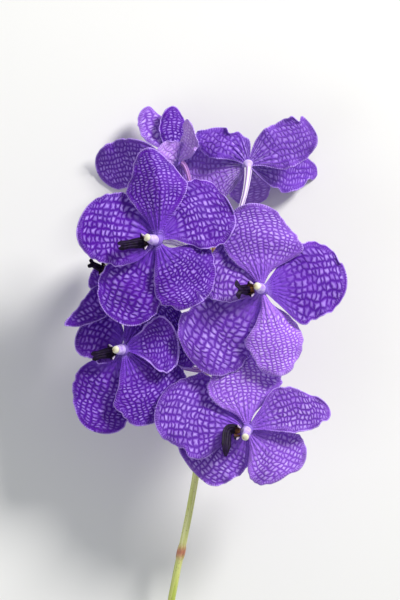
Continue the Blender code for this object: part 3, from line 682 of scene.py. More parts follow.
bloom(
    "bloom_top_left", (-16.0, 85.5, 34.0), (-0.82, 0.1, 0.4), (-0.9, -0.2, 0.38), (-22, -2, 10), 0,
    tepal("petal_left", root=(-1, 0, -1.5), tip=(-48.6, -4.5, -24), width=32, turn=-25, widest=0.55,
          blunt=2.4, wave=1.6, bow=-3, claw=4, rests=True,
          left=(1, 1, 0.97, 1.02, 1.15), right=(1.3, 1.25, 1.12, 1.1, 1.1)),
    tepal("sepal_pale", root=(0, 1, -1.5), tip=(-16.2, 35.3, -20), width=20, turn=25, cup=-2,
          claw=3, neck=2.0, left=(1, 1.2, 1.22, 1.2, 1.2), right=(1, 1, 0.85, 0.7, 0.5)),
    tepal("sepal_dark", root=(0.5, 1.5, -0.8), tip=(-1, 34.9, -9), width=18, turn=10, cup=-2,
          claw=3, left=(1, 1.05, 1, 0.9, 0.85), right=(1, 1, 1, 0.9, 0.75)),
    tepal("petal_folded", root=(1, -0.2, 0.2), tip=(9, 24.5, 15), width=18, sway=5, turn=-50,
          fold=-2, claw=3),
    tepal("sepal_near", root=(3, -1.2, 0.2), tip=(-9.5, 7.5, 18), width=20, claw=3,
          left=(1, 0.6, 0.5, 0.5, 0.6), right=(2.2, 1.5, 1, 0.9, 0.9)),
)
bloom(
    "bloom_top_right", (29.5, 83.0, 36.0), (0.0, 0.6, -0.8), (0.0, 0.5, -0.87), (2, 8, -15), 180,
    tepal("upper_left", root=(0, 0, 0), tip=(-31, 20.5, 8), width=21, sway=5, wave=2.2, waves=2,
          claw=4, left=(1, 1.1, 1.3, 1.3, 1.1), right=(2.3, 1.1, 0.9, 0.55, 0.25)),
    tepal("left", root=(0, 0, -1), tip=(-45, -1, -10), width=36, cup=2, claw=4,
          left=(2, 1.5, 1.15, 1.1, 1.45)),
    tepal("bottom", root=(-0.5, -1, -1.5), tip=(4, -23.2, -30), width=26, claw=4, rests=True,
          left=(1.6, 1.3, 1, 0.95, 0.9), right=(1.7, 1.35, 1.05, 1, 1)),
    tepal("upper_right", root=(0, 0, 0), tip=(42.4, 18.5, 4), width=29, sway=-2.3, wave=1.6, claw=4,
          left=(1.6, 1.25, 0.98, 1.1, 1.7), right=(0.9, 1.1, 1, 0.92, 0.8)),
    tepal("right", root=(1, 0, 0.5), tip=(44.2, -4, -30), width=26, sway=2, wave=1.6, claw=4,
          rests=True, right=(1, 1.05, 0.95, 0.74, 0.55)),
)

# %% [markdown]
# ## What sets single tepals apart
# On the real spike some tepals glow with light, which is painted on here as lit copies of their
# colours; some have finer cells, and some have a torn margin. Each could have a material and a
# mesh of its own. Short tables that name only what differs do the same with one material and one
# recipe.

# %% Tables for single tepals
# The size of the cells in the net
GRAIN = {
    "bloom_front": {"dorsal": 0.66, "sepal_right": 0.72, "petal_right": 0.95},
    "bloom_right": {"dorsal": 0.76, "petal_right": 1.1, "sepal_left": 1.15, "sepal_right": 0.66},
    "bloom_low": {"dorsal": 0.74, "petal_right": 0.8, "sepal_left": 0.9, "sepal_right": 0.8},
    "bloom_left": {"dorsal": 0.7, "petal_right": 0.75, "sepal_right": 0.8, "sepal_left": 0.9},
    "bloom_top_left": {"petal_left": 0.85, "sepal_dark": 0.7, "petal_folded": 0.7},
    "bloom_top_right": {"upper_right": 0.85, "right": 0.85, "upper_left": 0.85, "left": 0.85},
}
# How much painted light a tepal or the hub gets, from 0 to 1: it blends in lit copies of the
# colours
PAINTED_LIGHT = {
    "bloom_front": {"petal_right": 0.05},
    "bloom_right": {"sepal_right": 1.0, "dorsal": 0.52, "sepal_left": 0.28, "petal_left": 0.42,
                    "petal_right": 0.1},
    "bloom_low": {"sepal_right": 0.7, "dorsal": 0.82, "petal_right": 0.45, "petal_left": 0.2,
                  "sepal_left": 0.4},
    "bloom_top_left": {"sepal_pale": 0.6, "petal_folded": 1.0, "sepal_near": 1.0,
                       "petal_left": 0.2},
    "bloom_top_right": {"left": 0.35, "bottom": 0.25, "upper_right": 0.08, "hub": 1.0},
}
# What turns its back to the camera
BEHIND = {
    "bloom_top_left": ("petal_folded", "sepal_near"),
    "bloom_top_right": ("upper_left", "left", "bottom", "upper_right", "right", "hub"),
}
# Notches in a margin: where along it, on which side, how deep and how long
BITES = {
    "bloom_front": {"petal_right": ((0.93, -1, 0.2, 0.03),), "sepal_right": ((0.8, 1, 0.1, 0.04),)},
    "bloom_right": {"sepal_right": ((0.9, -1, 0.12, 0.04),),
                    "petal_right": ((0.945, -1, 0.3, 0.022),)},
    "bloom_low": {"petal_left": ((0.62, -1, 0.1, 0.05),),
                  "petal_right": ((0.88, 1, 0.25, 0.05), (0.8, -1, 0.14, 0.05)),
                  "sepal_right": ((0.93, 1, 0.22, 0.05),)},
    "bloom_left": {"petal_left": ((0.7, 1, 0.1, 0.06), (0.5, -1, 0.1, 0.05))},
    "bloom_top_left": {"petal_left": ((0.7, -1, 0.12, 0.06),)},
    "bloom_top_right": {"upper_left": ((0.55, 1, 0.5, 0.07),),
                        "upper_right": ((0.86, -1, 0.36, 0.045),),
                        "right": ((0.88, 1, 0.6, 0.05), (0.42, 1, 0.15, 0.05))},
}
# How many times wider than usual the pale hem is
HEMS = {"bloom_left": {"petal_right": 1.5}}


def of_tepal(table, b, name, default):
    return table.get(b.name, {}).get(name, default)


def finishes_of(b, name):
    """The finish of the upper side, which the camera sees, and then that of the lower side."""
    turned_away = name in BEHIND.get(b.name, ())
    return (tepal_back, tepal_front) if turned_away else (tepal_front, tepal_back)


print("blooms:", len(BLOOMS), "tepals:", sum(len(b.tepals) for b in BLOOMS))

# %% [markdown]
# ## The relief of the blades
# A living tepal is never smooth: its margin ripples and goes in and out, low swellings run over
# it, and fine pleats leave the claw. Sculpting brushes could add them by hand. Sums of waves do it
# here, with a few random starts, so that no two blades are alike.

# %% Relief helpers
RIPPLE = 0.75             # height of the ripples along a margin
SCALLOP = 0.013           # how far a margin goes in and out, as a share of the half width
SWELL = 1.0               # height of the low waves all over a blade
SWELL_LENGTH = 24.0
PLEAT = 0.45              # height of the pleats beside the claw
PLEAT_WIDTH = 5.0
CURL = 4.0                # how far a margin would turn up at a notch that cuts it off
ROUGH_TURN = 6.28         # about a full turn


def margin_waves(u, v, counts, starts, apart):
    """A sum of waves along each margin. The two margins are a share of a turn apart."""
    return sum(np.sin(2 * np.pi * (count * u + start + apart * (v > 0)))
               for count, start in zip(counts, starts))


def notch_depth(t, b, u, v):
    """How far the notches cut in at each place, as a share of the half width."""
    depths = np.zeros_like(u)
    for place, edge, depth, length in of_tepal(BITES, b, t.name, ()):
        depths += depth * bump_at(u, place, length) * v * v * (v * edge > 0)
    return depths


def swell(random, across, along):
    """Low waves all over a blade, by a sum of a few random ones."""
    total = 0
    for _ in range(4):
        way = random.uniform(0, 2 * np.pi)
        distance = across * np.cos(way) + along * np.sin(way)
        total = total + np.sin(2 * np.pi * distance / SWELL_LENGTH + random.uniform(0, ROUGH_TURN))
    return total / 2


print("ripples:", RIPPLE, "mm, swellings:", SWELL, "mm, pleats:", PLEAT, "mm")

# %% [markdown]
# ## Making the blades
# A grid gives the blade, and Solidify gives it its two sides, the back with the second material.
# The pattern could lie on the blade as on a flat sheet, but real veins fan out from the claw and
# end at the margin. So two maps go with the blade, one that follows the veins and one that
# follows the margin. Both are in millimetres.

# %% Maps of a blade


def margin_map(across, along, margin):
    """How far along the margin the point nearest to each place is, and how near it is."""
    line = np.column_stack((across[margin], along[margin]))
    lengths = np.concatenate(([0], np.cumsum(np.linalg.norm(np.diff(line, axis=0), axis=1))))
    places = np.column_stack((across, along))
    gaps = np.linalg.norm(places[:, None, :] - line[None, :, :], axis=2)
    nearest = gaps.argmin(axis=1)
    return lengths[nearest], gaps[np.arange(len(places)), nearest]


def rows_of_cells(away, reach):
    """Distance from the claw with the rows of cells longer near it and shorter towards the tip."""
    share = np.linspace(0, 1.4, 141)
    length = 1 + 0.8 * bump_at(share, 0.28, 0.13) - 0.2 * step(0.6, 1, share)
    return reach * np.interp(away / reach, share, np.cumsum(0.01 / length))


def write_masks(piece, b, name, along, seed):
    """What the tepals' finishes read besides the maps."""
    write_value(piece, "along", along)
    write_value(piece, "seed", seed)
    # The pale attribute carries painted light: how far the piece's colours move to their lit copies
    write_value(piece, "pale", of_tepal(PAINTED_LIGHT, b, name, 0.0))
    write_value(piece, "hem", of_tepal(HEMS, b, name, 1.0))


print("rows of cells to 40 mm:", rows_of_cells(40.0, 50.0).round(1), "mm of even rows")

# %% Make one blade
BLADE_COLUMNS = 44
BLADE_ROWS = 56
CLAW_START = 1.8          # how far from the bloom's centre the blade begins, inside the hub
CROWDED_ROWS = 1.7        # more than 1 crowds the rows of the grid towards the tip
LEAST_FAN = 0.05          # keeps the veins apart where the claw is narrowest
ROUND_ROWS = 0.8          # 1 would make the rows of cells run round the claw in circles
FINE_THICKNESS = 0.55
FLOOR_CLEARANCE = 0.05


def thicken(obj, thickness, *finishes):
    """Solidify, applied, for a sheet that should have two sides, each with its own finish."""
    only(obj)
    wall = obj.modifiers.new("wall", "SOLIDIFY")
    wall.thickness = thickness * MM
    wall.offset = 0
    if finishes:
        wall.material_offset = 1
    for finish in finishes:
        obj.data.materials.append(finish)
    bpy.ops.object.modifier_apply(modifier=wall.name)
    bpy.ops.object.shade_smooth()


def make_blade(t, b, seed):
    blade, x, y = flat_grid(t.name, BLADE_COLUMNS, BLADE_ROWS)
    reach = np.linalg.norm(np.subtract(t.tip, t.root))
    first = CLAW_START / reach
    u = first + (1 - first) * (1 - (1 - y) ** CROWDED_ROWS)
    v = 2 * x - 1
    share = half_width(t, u)
    flat_across = t.width / 2 * share * v * fullness(t, u, v)
    flat_along = u * reach
    fan = np.where(u < t.widest, np.maximum(share, LEAST_FAN), 1.0)

    random = np.random.default_rng(seed)
    starts = random.uniform(0, 1, 6)
    open_part = step(0.25, 0.5, u)
    notched = notch_depth(t, b, u, v)
    scallop = margin_waves(u, v, (3, 6, 10), starts, 0.5)
    points = blade_points(t, u, v * (1 + SCALLOP * scallop * open_part) * (1 - notched))
    ripple = margin_waves(u, v, (3, 5), starts[3:], 0.4)
    lift = RIPPLE * ripple * np.abs(v) ** 4 * open_part + CURL * notched
    lift += SWELL * swell(random, flat_across, flat_along) * open_part
    pleats = PLEAT * np.cos(2 * np.pi * flat_across / fan / PLEAT_WIDTH)
    lift += pleats * step(0.05, 0.2, u) * (1 - step(0.25, 0.6, u)) * (1 - v * v)
    points[:, 2] += lift
    points += np.array(b.centre, float)
    points[:, 2] = np.maximum(points[:, 2], FINE_THICKNESS / 2 + FLOOR_CLEARANCE)
    move_to(blade, points)

    grain = of_tepal(GRAIN, b, t.name, 1.0)
    away = np.hypot(flat_along, ROUND_ROWS * flat_across)
    write_map(blade, "net", flat_across / fan / grain, rows_of_cells(away, reach) / grain)
    order = np.lexsort((y, v))
    margin = np.concatenate((order[: BLADE_ROWS + 1], order[-BLADE_ROWS - 1:][::-1]))
    write_map(blade, "rim", *margin_map(flat_across, flat_along, margin))
    write_masks(blade, b, t.name, u, seed)
    merge_doubles(blade)
    thicken(blade, FINE_THICKNESS, *finishes_of(b, t.name))
    return blade


print("faces of a blade before it has two sides:", BLADE_COLUMNS * BLADE_ROWS)

# %% [markdown]
# ## Rolled grids and hubs
# The claws meet in a small swelling, the top of the flower's ovary. It could be a sphere, but a
# sphere doesn't narrow behind and can't follow a bent path, as the column and the stalks do. So it
# is a grid too, rolled up into a tube by giving each vertex an angle and a place along a path, and
# closed at both ends.

# %% Roll up a grid
FIRST_SIDE = (0, 1, 0.2)  # where the seam of a rolled grid lies


def frames_along(path, first_side):
    """A side and up direction at each point of a path, carried on without twisting."""
    forward = unit(np.gradient(path, axis=0))
    sides = []
    side = np.array(first_side, float)
    for f in forward:
        side = unit(side - f * np.dot(side, f))
        sides.append(side)
    sides = np.array(sides)
    return sides, np.cross(forward, sides)


def rolled(name, columns, path, section, first_side=FIRST_SIDE):
    """A tube round a path. section(turn, share) gives a vertex its offsets to the side and up."""
    path = np.array(path, float)
    obj, x, y = flat_grid(name, columns, len(path) - 1)
    row = np.rint(y * (len(path) - 1)).astype(int)
    sides, ups = frames_along(path, first_side)
    across, up = section(2 * np.pi * x, y)
    move_to(obj, path[row] + sides[row] * across[:, None] + ups[row] * up[:, None])
    merge_doubles(obj, closed=True)
    bpy.ops.object.shade_smooth()
    return obj


def smooth_path(points, steps):
    """A smooth curve through the points, with a number of steps between each two."""
    points = [np.array(p, float) for p in points]
    ends = [2 * points[0] - points[1]] + points + [2 * points[-1] - points[-2]]
    path = []
    for i in range(1, len(ends) - 2):
        p0, p1, p2, p3 = ends[i - 1:i + 3]
        for s in np.arange(steps) / steps:
            path.append(0.5 * (2 * p1 + (p2 - p0) * s + (2 * p0 - 5 * p1 + 4 * p2 - p3) * s ** 2
                               + (3 * p1 - p0 - 3 * p2 + p3) * s ** 3))
    path.append(points[-1])
    return np.array(path)


def straight(start, end, rows):
    share = np.linspace(0, 1, rows + 1)[:, None]
    return np.array(start) + (np.array(end) - np.array(start)) * share


def oval(width, height, profile):
    """A section whose radius follows a profile of the share along the path."""
    return lambda turn, share: (width / 2 * profile(share) * np.cos(turn),
                                height / 2 * profile(share) * np.sin(turn))


print("points on a path of two bends:", len(smooth_path([(0, 0, 0), (1, 0, 0), (1, 1, 0)], 12)))

# %% Make the tepals
HUB_RADIUS = 3.6
HUB_FRONT = 2.8
HUB_BACK = 4.0
HUB_STOPS = (0, 0.02, 0.4, 0.8, 0.98, 1)
HUB_WIDTHS = (0, 0.5, 0.97, 1.0, 0.75, 0)
HUB_INSIDE = 20.0         # keeps the hub clear of the stripes of a margin
NECKS = {"bloom_top_right": 0.62}       # the width of a hub's back, where that is seen


def make_hub(b):
    facing = unit(b.facing)
    centre = np.array(b.centre)
    path = straight(centre - facing * HUB_BACK, centre + facing * HUB_FRONT, 16)
    slimmer = 1 - NECKS.get(b.name, 1.0)

    def bulb(share):
        back = 1 - step(0.45, 0.65, share)
        return np.interp(share, HUB_STOPS, HUB_WIDTHS) * (1 - slimmer * back)

    hub = rolled("hub", 24, path, oval(2 * HUB_RADIUS, 2 * HUB_RADIUS, bulb))
    hub.data.uv_layers.active.name = "net"
    write_map(hub, "net", 0.0, 0.0)
    write_map(hub, "rim", 0.0, HUB_INSIDE)
    write_masks(hub, b, "hub", 0.0, 0.0)
    hub.data.materials.append(finishes_of(b, "hub")[0])
    return hub


def joined(parts, name):
    """Several objects made one, which takes a new name."""
    only(parts[0])
    for part in parts:
        part.select_set(True)
    bpy.ops.object.join()
    whole = bpy.context.object
    whole.name = whole.data.name = name
    return whole


def make_tepals(b, number):
    blades = [make_blade(t, b, 10 * number + i) for i, t in enumerate(b.tepals)]
    whole = joined([make_hub(b)] + blades, b.name + "_blades")
    hand_over(whole, b.name + "_tepals")
    return whole


tepal_pieces = [make_tepals(b, i + 1) for i, b in enumerate(BLOOMS)]
print("tepal faces:", sum(len(o.data.polygons) for o in tepal_pieces))

# %% [markdown]
# ## The waxy finish of column and cap
# The column is pale lilac with a violet hollow, and the cap on it is cream with an ochre end.
# Both shine softly, like wax. A picture could mark the dark spots, but an attribute on the
# vertices is enough for one round spot.

# %% Column and cap finishes
WAX_RELIEF = 0.00008      # metres


def make_waxy(name, base, tint, spot):
    """A soft waxy finish: two mixed colours, and a third where the zone attribute says so."""
    material, tree, shader = start_material(name, Roughness=0.42, Specular_IOR_Level=0.45)
    noise = object_noise(tree, scale=420.0, detail=3.0)
    mixed = blend(tree, rise(tree, noise, 0.35, 0.68), base, tint)
    spotted = blend(tree, read_value(tree, "zone"), mixed, spot)
    end_material(tree, shader, spotted, noise, WAX_RELIEF)
    return material


column_finish = make_waxy("column_wax", base=colour(208, 188, 240), tint=colour(172, 138, 224),
                          spot=colour(112, 66, 170))
cap_finish = make_waxy("cap_cream", base=colour(238, 234, 214), tint=colour(216, 212, 176),
                       spot=colour(190, 140, 76))
print("finishes:", column_finish.name, cap_finish.name)

# %% [markdown]
# ## Column and anther cap
# The column rises from the middle of the bloom and leans over the lip, with a hollow under its
# end. The cap on it is a small dome with a groove. The hollow and the groove could be cut out by
# Booleans. A section whose radius is smaller on one side gives both without a single sharp edge.

# %% Where the column and the lip go
GAP = 0.3                 # between two pieces of a bloom
COLUMN_LENGTH = 6.5
COLUMN_FOOT = 2           # how far the column goes straight before it leans
COLUMN_RADIUS = 3.0
KNEES = {"bloom_low": (-6.5, 0.6, 0)}   # where the lip bends, if its tip hangs another way


def column_route(b):
    facing = unit(b.facing)
    base = np.array(b.centre) + facing * (HUB_FRONT + GAP)
    elbow = base + facing * COLUMN_FOOT
    return [base, elbow, elbow + unit(b.column) * (COLUMN_LENGTH - COLUMN_FOOT)]


def way_of_lip(b):
    """The direction in which the lip leaves the column, square to the way that the bloom faces."""
    facing = unit(b.facing)
    lip = np.array(KNEES.get(b.name, b.lip), float)
    return unit(lip - facing * np.dot(lip, facing))


def angle_of(way, path):
    """Which turn of a rolled grid looks in a given direction, half way along its path."""
    sides, ups = frames_along(path, FIRST_SIDE)
    middle = len(path) // 2
    return math.atan2(np.dot(way, ups[middle]), np.dot(way, sides[middle]))


def angle_from(turn, middle):
    """The angle between a turn and a middle, from 0 to half a turn."""
    return np.abs((turn - middle + np.pi) % (2 * np.pi) - np.pi)


def round_section(turn, radius, flat=1.0):
    """The offsets to the side and up of a section that is round or a little flat."""
    return radius * np.cos(turn), radius * np.sin(turn) * flat


def places_of(piece):
    """The vertices in the tables' millimetres."""
    return np.array([v.co for v in piece.data.vertices]) / MM - PHOTO_MIDDLE


def write_spot(piece, place, reach, strength):
    """A round spot in the zone attribute."""
    away = np.linalg.norm(places_of(piece) - place, axis=1)
    write_value(piece, "zone", strength * bump_at(away, 0, reach))


print("column of the front bloom:", [p.round(1).tolist() for p in column_route(BLOOMS[0])])

# %% Make the columns
COLUMN_STOPS = (0, 0.01, 0.2, 0.45, 0.7, 0.9, 0.99, 1)
COLUMN_WIDTHS = (0, 0.92, 1.08, 1.02, 0.93, 0.86, 0.7, 0)
HOLLOW = 0.3              # how much of the radius the hollow takes away
WINGS = 0.14              # and how much the two wings beside it add
HOLLOW_ROW = 17           # the point of the path beside its dark spot
HOLLOW_REACH = 0.7        # and how far out the spot lies, as a share of the radius


def make_column(b):
    path = smooth_path(column_route(b), 12)
    low = angle_of(way_of_lip(b), path)

    def section(turn, share):
        body = np.interp(share, COLUMN_STOPS, COLUMN_WIDTHS)
        hollow = HOLLOW * bump_at(angle_from(turn, low), 0, 0.75) * bump_at(share, 0.72, 0.15)
        wings = WINGS * bump_at(angle_from(turn, low), 1.25, 0.3) * bump_at(share, 0.7, 0.22)
        return round_section(turn, COLUMN_RADIUS * body * (1 - hollow + wings))

    piece = rolled(b.name + "_column_fine", 40, path, section)
    dark = path[HOLLOW_ROW] + way_of_lip(b) * COLUMN_RADIUS * HOLLOW_REACH
    write_spot(piece, dark, reach=1.2, strength=0.8)
    hand_over(piece, b.name + "_column", column_finish)
    return piece


columns = [make_column(b) for b in BLOOMS]
print("columns:", len(columns))

# %% Make the caps
CAP_RADIUS = 2.3
CAP_LENGTH = 2.5
CAP_FLATNESS = 0.96
GROOVE = 0.16             # how much of the radius the groove takes away


def make_cap(b):
    lean = unit(b.column)
    start = column_route(b)[-1] + lean * GAP
    path = straight(start, start + lean * CAP_LENGTH, 20)
    low = angle_of(way_of_lip(b), path)

    def section(turn, share):
        dome = np.sqrt(np.clip(1 - np.abs(2 * share - 0.7) ** 2.2 / 1.78, 0, 1)) * (share > 0)
        groove = GROOVE * bump_at(angle_from(turn, low), 0, 0.22) * step(0.2, 0.7, share)
        return round_section(turn, CAP_RADIUS * dome * (1 - groove), CAP_FLATNESS)

    piece = rolled(b.name + "_cap_fine", 36, path, section)
    ochre_end = start + lean * 2.2 + way_of_lip(b) * 0.9
    write_spot(piece, ochre_end, reach=0.75, strength=0.75)
    hand_over(piece, b.name + "_anther_cap", cap_finish)
    return piece


caps = [make_cap(b) for b in BLOOMS]
print("caps:", len(caps))

# %% [markdown]
# ## The lip's finish
# The lip is the darkest part of the flower, a near-black violet velvet with pale rims on its ears
# and an ochre throat. Three materials could share it, but their borders would be hard. Two
# attributes blend the three colours softly: zone for the rims and throat for the ochre.

# %% Lip finish
LIP_DARK = colour(16, 4, 26)
LIP_VIOLET = colour(34, 16, 54)
LIP_RIM = colour(226, 206, 236)
LIP_OCHRE = colour(134, 84, 38)


def make_lip_finish():
    material, tree, shader = start_material("lip_velvet", Roughness=0.55, Specular_IOR_Level=0.15)
    noise = object_noise(tree, scale=500.0, detail=3.0)
    dark = blend(tree, rise(tree, noise, 0.35, 0.7), LIP_DARK, LIP_VIOLET)
    rim = blend(tree, rise(tree, read_value(tree, "zone"), 0.3, 0.9), dark, LIP_RIM)
    throat = blend(tree, read_value(tree, "throat"), rim, LIP_OCHRE)
    end_material(tree, shader, throat, noise, 0.0001)
    return material


lip_finish = make_lip_finish()
print("finish:", lip_finish.name)

# %% [markdown]
# ## The lip
# Its middle lobe is a narrow tongue with three keels, widened and notched at its end. Two small
# ears stand beside the throat, a cup that the short spur closes behind. One mesh could be
# extruded into all of them. Thin sheets and one rolled grid are simpler, and joined they touch as
# the real parts do.

# %% Where the lip's parts are
LIP_FOOT = 2.6            # from the column's base to where the lip leaves it
FOOT_WIDTH = 1.08         # of the column there, as a share of its radius
LIP_KNEE = 3.0            # from the column to the bend of the lip
KNEE_RISE = 0.9
OCHRE = {"bloom_right": 0.8, "bloom_low": 0.5}      # how ochre a throat is
FAINT_OCHRE = 0.1


def ochre_of(b):
    return OCHRE.get(b.name, FAINT_OCHRE)


def sheet(name, columns, rows, place, thickness, zone, throat):
    """A solid sheet from a function of two shares, with its two colour masks."""
    obj, x, y = flat_grid(name, columns, rows)
    move_to(obj, place(x, y))
    write_value(obj, "zone", zone(x, y))
    write_value(obj, "throat", throat(x, y))
    thicken(obj, thickness)
    return obj


def read_along(path, stops, place):
    """The point of a path at a place, or at each of several, between its points at the stops."""
    return np.stack([np.interp(place, stops, path[:, i]) for i in range(3)], axis=-1)


def lip_parts(b):
    """Where the lip begins, its knee and its tip, and its three directions."""
    facing = unit(b.facing)
    outward = way_of_lip(b)
    foot = column_route(b)[0] + facing * LIP_FOOT
    start = foot + outward * (COLUMN_RADIUS * FOOT_WIDTH + GAP)
    reach = np.linalg.norm(KNEES[b.name]) if b.name in KNEES else LIP_KNEE
    knee = start + outward * reach + facing * KNEE_RISE
    across = turned(np.cross(facing, outward), outward, b.lip_roll)
    return start, knee, np.array(b.centre) + np.array(b.lip, float), facing, outward, across


print("lip of the front bloom starts at", lip_parts(BLOOMS[0])[0].round(1).tolist())

# %% Shape a tongue
TONGUE_THICKNESS = 0.8
KEEL = 0.5                # height of the three keels
ARCH = 1.3                # how far the sides of the tongue hang down
TIP_NOTCH = 1.7           # depth of the notch in its end
TIP_CORNER = 0.8          # and how far the corners beside it are rounded off
TONGUE_REACH = 16         # about the tongue's length, which these two are set against
TONGUE_STOPS = (0, 0.15, 0.4, 0.65, 0.85, 1)
HALF = (1.6, 3.0, 3.2, 2.4, 2.9, 2.3)               # half the tongue's width at the stops
HALVES = {"bloom_low": (1.3, 2.8, 3.6, 3.9, 2.9, 0.8), "bloom_side": (1.2, 2.0, 2.0, 1.7, 2.1, 1.8)}
FLARES = {"bloom_right": 2.0, "bloom_low": 0.8, "bloom_side": 1.4}      # and how its end widens


def make_tongue(b):
    start, knee, tip, facing, _, across = lip_parts(b)
    bend = knee * 0.45 + tip * 0.55 + facing * 1.5
    route = smooth_path([start + facing * 0.2, knee, bend, tip], 16)
    sides, ups = frames_along(route, across)
    ups = ups * np.sign(ups @ facing)[:, None]
    stops = np.linspace(0, 1, len(route))
    flare = FLARES.get(b.name, 1.0)

    def place(x, y):
        v = 2 * x - 1
        half = np.interp(y, TONGUE_STOPS, HALVES.get(b.name, HALF))
        half = half * (1 + (flare - 1) * step(0.6, 0.8, y))
        keels = KEEL * (bump_at(v, 0, 0.16) + bump_at(np.abs(v), 0.55, 0.14))
        keels = keels * step(0.1, 0.3, y) * (1 - step(0.75, 1, y))
        notch = TIP_NOTCH * flare * bump_at(v, 0, 0.35) * step(0.75, 1, y)
        corners = TIP_CORNER * np.abs(v) ** 4 * step(0.85, 1, y)
        share = np.clip(y - (notch + corners) / TONGUE_REACH, 0, 1)
        middle, up, side = [read_along(way, stops, share) for way in (route, ups, sides)]
        lift = keels - ARCH * v * v * (1 - 0.6 * y)
        return middle + side * (half * v)[:, None] + up * lift[:, None]

    return sheet(b.name + "_tongue", 36, 60, place, TONGUE_THICKNESS, zone=lambda x, y: 0 * x,
                 throat=lambda x, y: ochre_of(b) * (1 - step(0.0, 0.14, y)))


print("stops along a tongue:", len(TONGUE_STOPS))

# %% Make the lips
EAR_THICKNESS = 0.55
EAR_HALF = 1.9            # half an ear's width
EAR_APART = 2.3           # from the middle of the throat to an ear
THROAT_WIDTH = 3.8
THROAT_HEIGHT = 3.2
THROAT_STOPS = (0, 0.05, 0.4, 0.8, 0.97, 1)
THROAT_WIDTHS = (0, 0.9, 1.0, 0.7, 0.4, 0)


def make_ear(b, side):
    start, _, _, facing, outward, across = lip_parts(b)
    foot = start + outward * (LIP_KNEE - 1.2) + facing * 0.7 + across * side * EAR_APART

    def place(x, y):
        v = 2 * x - 1
        half = EAR_HALF * np.sqrt(np.clip(1 - np.clip((y - 0.35) / 0.65, 0, 1) ** 2.2, 0.02, 1))
        height = 3.3 * y - 0.9 * y * y - 0.4
        curl = 0.8 * y + 1.8 * y * y - 0.5 * v * v
        return (foot + outward * (half * v - 0.3)[:, None] + facing * height[:, None]
                + across * side * curl[:, None])

    return sheet(b.name + "_ear", 18, 18, place, EAR_THICKNESS,
                 zone=lambda x, y: step(0.3, 0.8, y) * step(0.25, 0.75, 1 - x),
                 throat=lambda x, y: 0.75 * ochre_of(b) * (1 - step(0.2, 0.7, y)))


def make_throat(b):
    """The hollow cup between the ears, closed behind by the short spur."""
    start, _, _, facing, outward, _ = lip_parts(b)
    middle = start + outward * (LIP_KNEE * 0.55) + facing * 0.3
    spur = middle - facing * 2.6 + outward * 0.4
    path = smooth_path([middle + facing * 0.6, middle - facing * 1.2, spur], 8)
    cup = oval(THROAT_WIDTH, THROAT_HEIGHT, lambda s: np.interp(s, THROAT_STOPS, THROAT_WIDTHS))
    piece = rolled(b.name + "_throat", 24, path, cup)
    inside = step(-0.6, 0.5, (places_of(piece) - middle) @ facing)
    write_value(piece, "zone", 0.0)
    write_value(piece, "throat", ochre_of(b) * inside)
    return piece


def make_lip(b):
    parts = [make_tongue(b), make_ear(b, -1), make_ear(b, 1), make_throat(b)]
    whole = joined(parts, b.name + "_lip_fine")
    hand_over(whole, b.name + "_lip", lip_finish)
    return whole


lips = [make_lip(b) for b in BLOOMS]
print("lips:", len(lips))

# %% [markdown]
# ## The route of the stem
# The stem is one long stalk that bends from the surface up into the head and gets thinner on its
# way, with a raised sheath at each bare joint. A bevelled curve could draw it, but its thickness
# couldn't follow the sheaths so closely. A table of points gives the route here, and one function
# gives the radius everywhere, which the stalks and bracts need as well.

# %% Stem table
STEM_ROUTE = [(-29, -312, 2.49), (-25.5, -250, 11.5), (-17.6, -185, 23.5), (-10.4, -150, 30.5),
              (-3, -111, 37.5), (1.5, -72, 43), (4, -35, 46.5), (5.6, 5, 48.5), (6.8, 35, 49.5),
              (7.4, 61, 50)]
STEM_LINE = smooth_path(STEM_ROUTE, 2)
STEM_CUT, STEM_HEAD, STEM_TOP = -312, -111, 61          # along the photograph's height
STEM_RADII = (2.6, 2.1, 1.6)                            # at these three
SHEATH_RISE = 0.45
SHEATHS = [(-156.0, 9.0), (-232.0, 9.0)]                # place and length


def stem_at(y):
    return read_along(STEM_LINE, STEM_LINE[:, 1], y)


def stem_radius(y):
    radius = np.interp(y, (STEM_CUT, STEM_HEAD, STEM_TOP), STEM_RADII)
    for place, length in SHEATHS:
        away = np.abs(y - place) / (length / 2)
        radius = radius + SHEATH_RISE * np.clip(1 - away ** 4, 0, 1)
    return radius


def sheath_share(y):
    return np.max([bump_at(y, place, 0.62 * length) ** 2 for place, length in SHEATHS], axis=0)


print("stem radius at the head:", stem_radius(STEM_HEAD).round(2), "mm")

# %% [markdown]
# ## The stem's finish
# The stem is green, paler and yellower by long streaks, red-brown at the sheaths and pale at the
# cut. Towards the head it turns paler and yellower, partly its own colour and partly painted light
# that makes up for the shadow of the blooms. Wood grain made of bands could stand for the streaks.
# Noise that is read round and along the tube is less regular and closes at the seam.

# %% Stem finish
STEM_GREENS = colour(166, 182, 72), colour(206, 212, 112)
# Paler, yellower greens for the stem towards the head: partly its own colour, partly painted light
# against the blooms' shadow
STEM_LIT_STRAWS = colour(204, 212, 116), colour(236, 238, 170)
SHEATH_BROWNS = colour(160, 92, 70), colour(206, 136, 104)
SPECK_BROWN = colour(120, 96, 70)
CUT_CREAM = colour(206, 204, 150)


def read_turn(tree):
    """The angle round a rolled grid and the share along it, from the map that it came with."""
    parts = parts_of(tree, add_node(tree, "UVMap", uv_map="UVMap").outputs[0])
    return scaled(tree, parts[0], 2 * math.pi), parts[1]


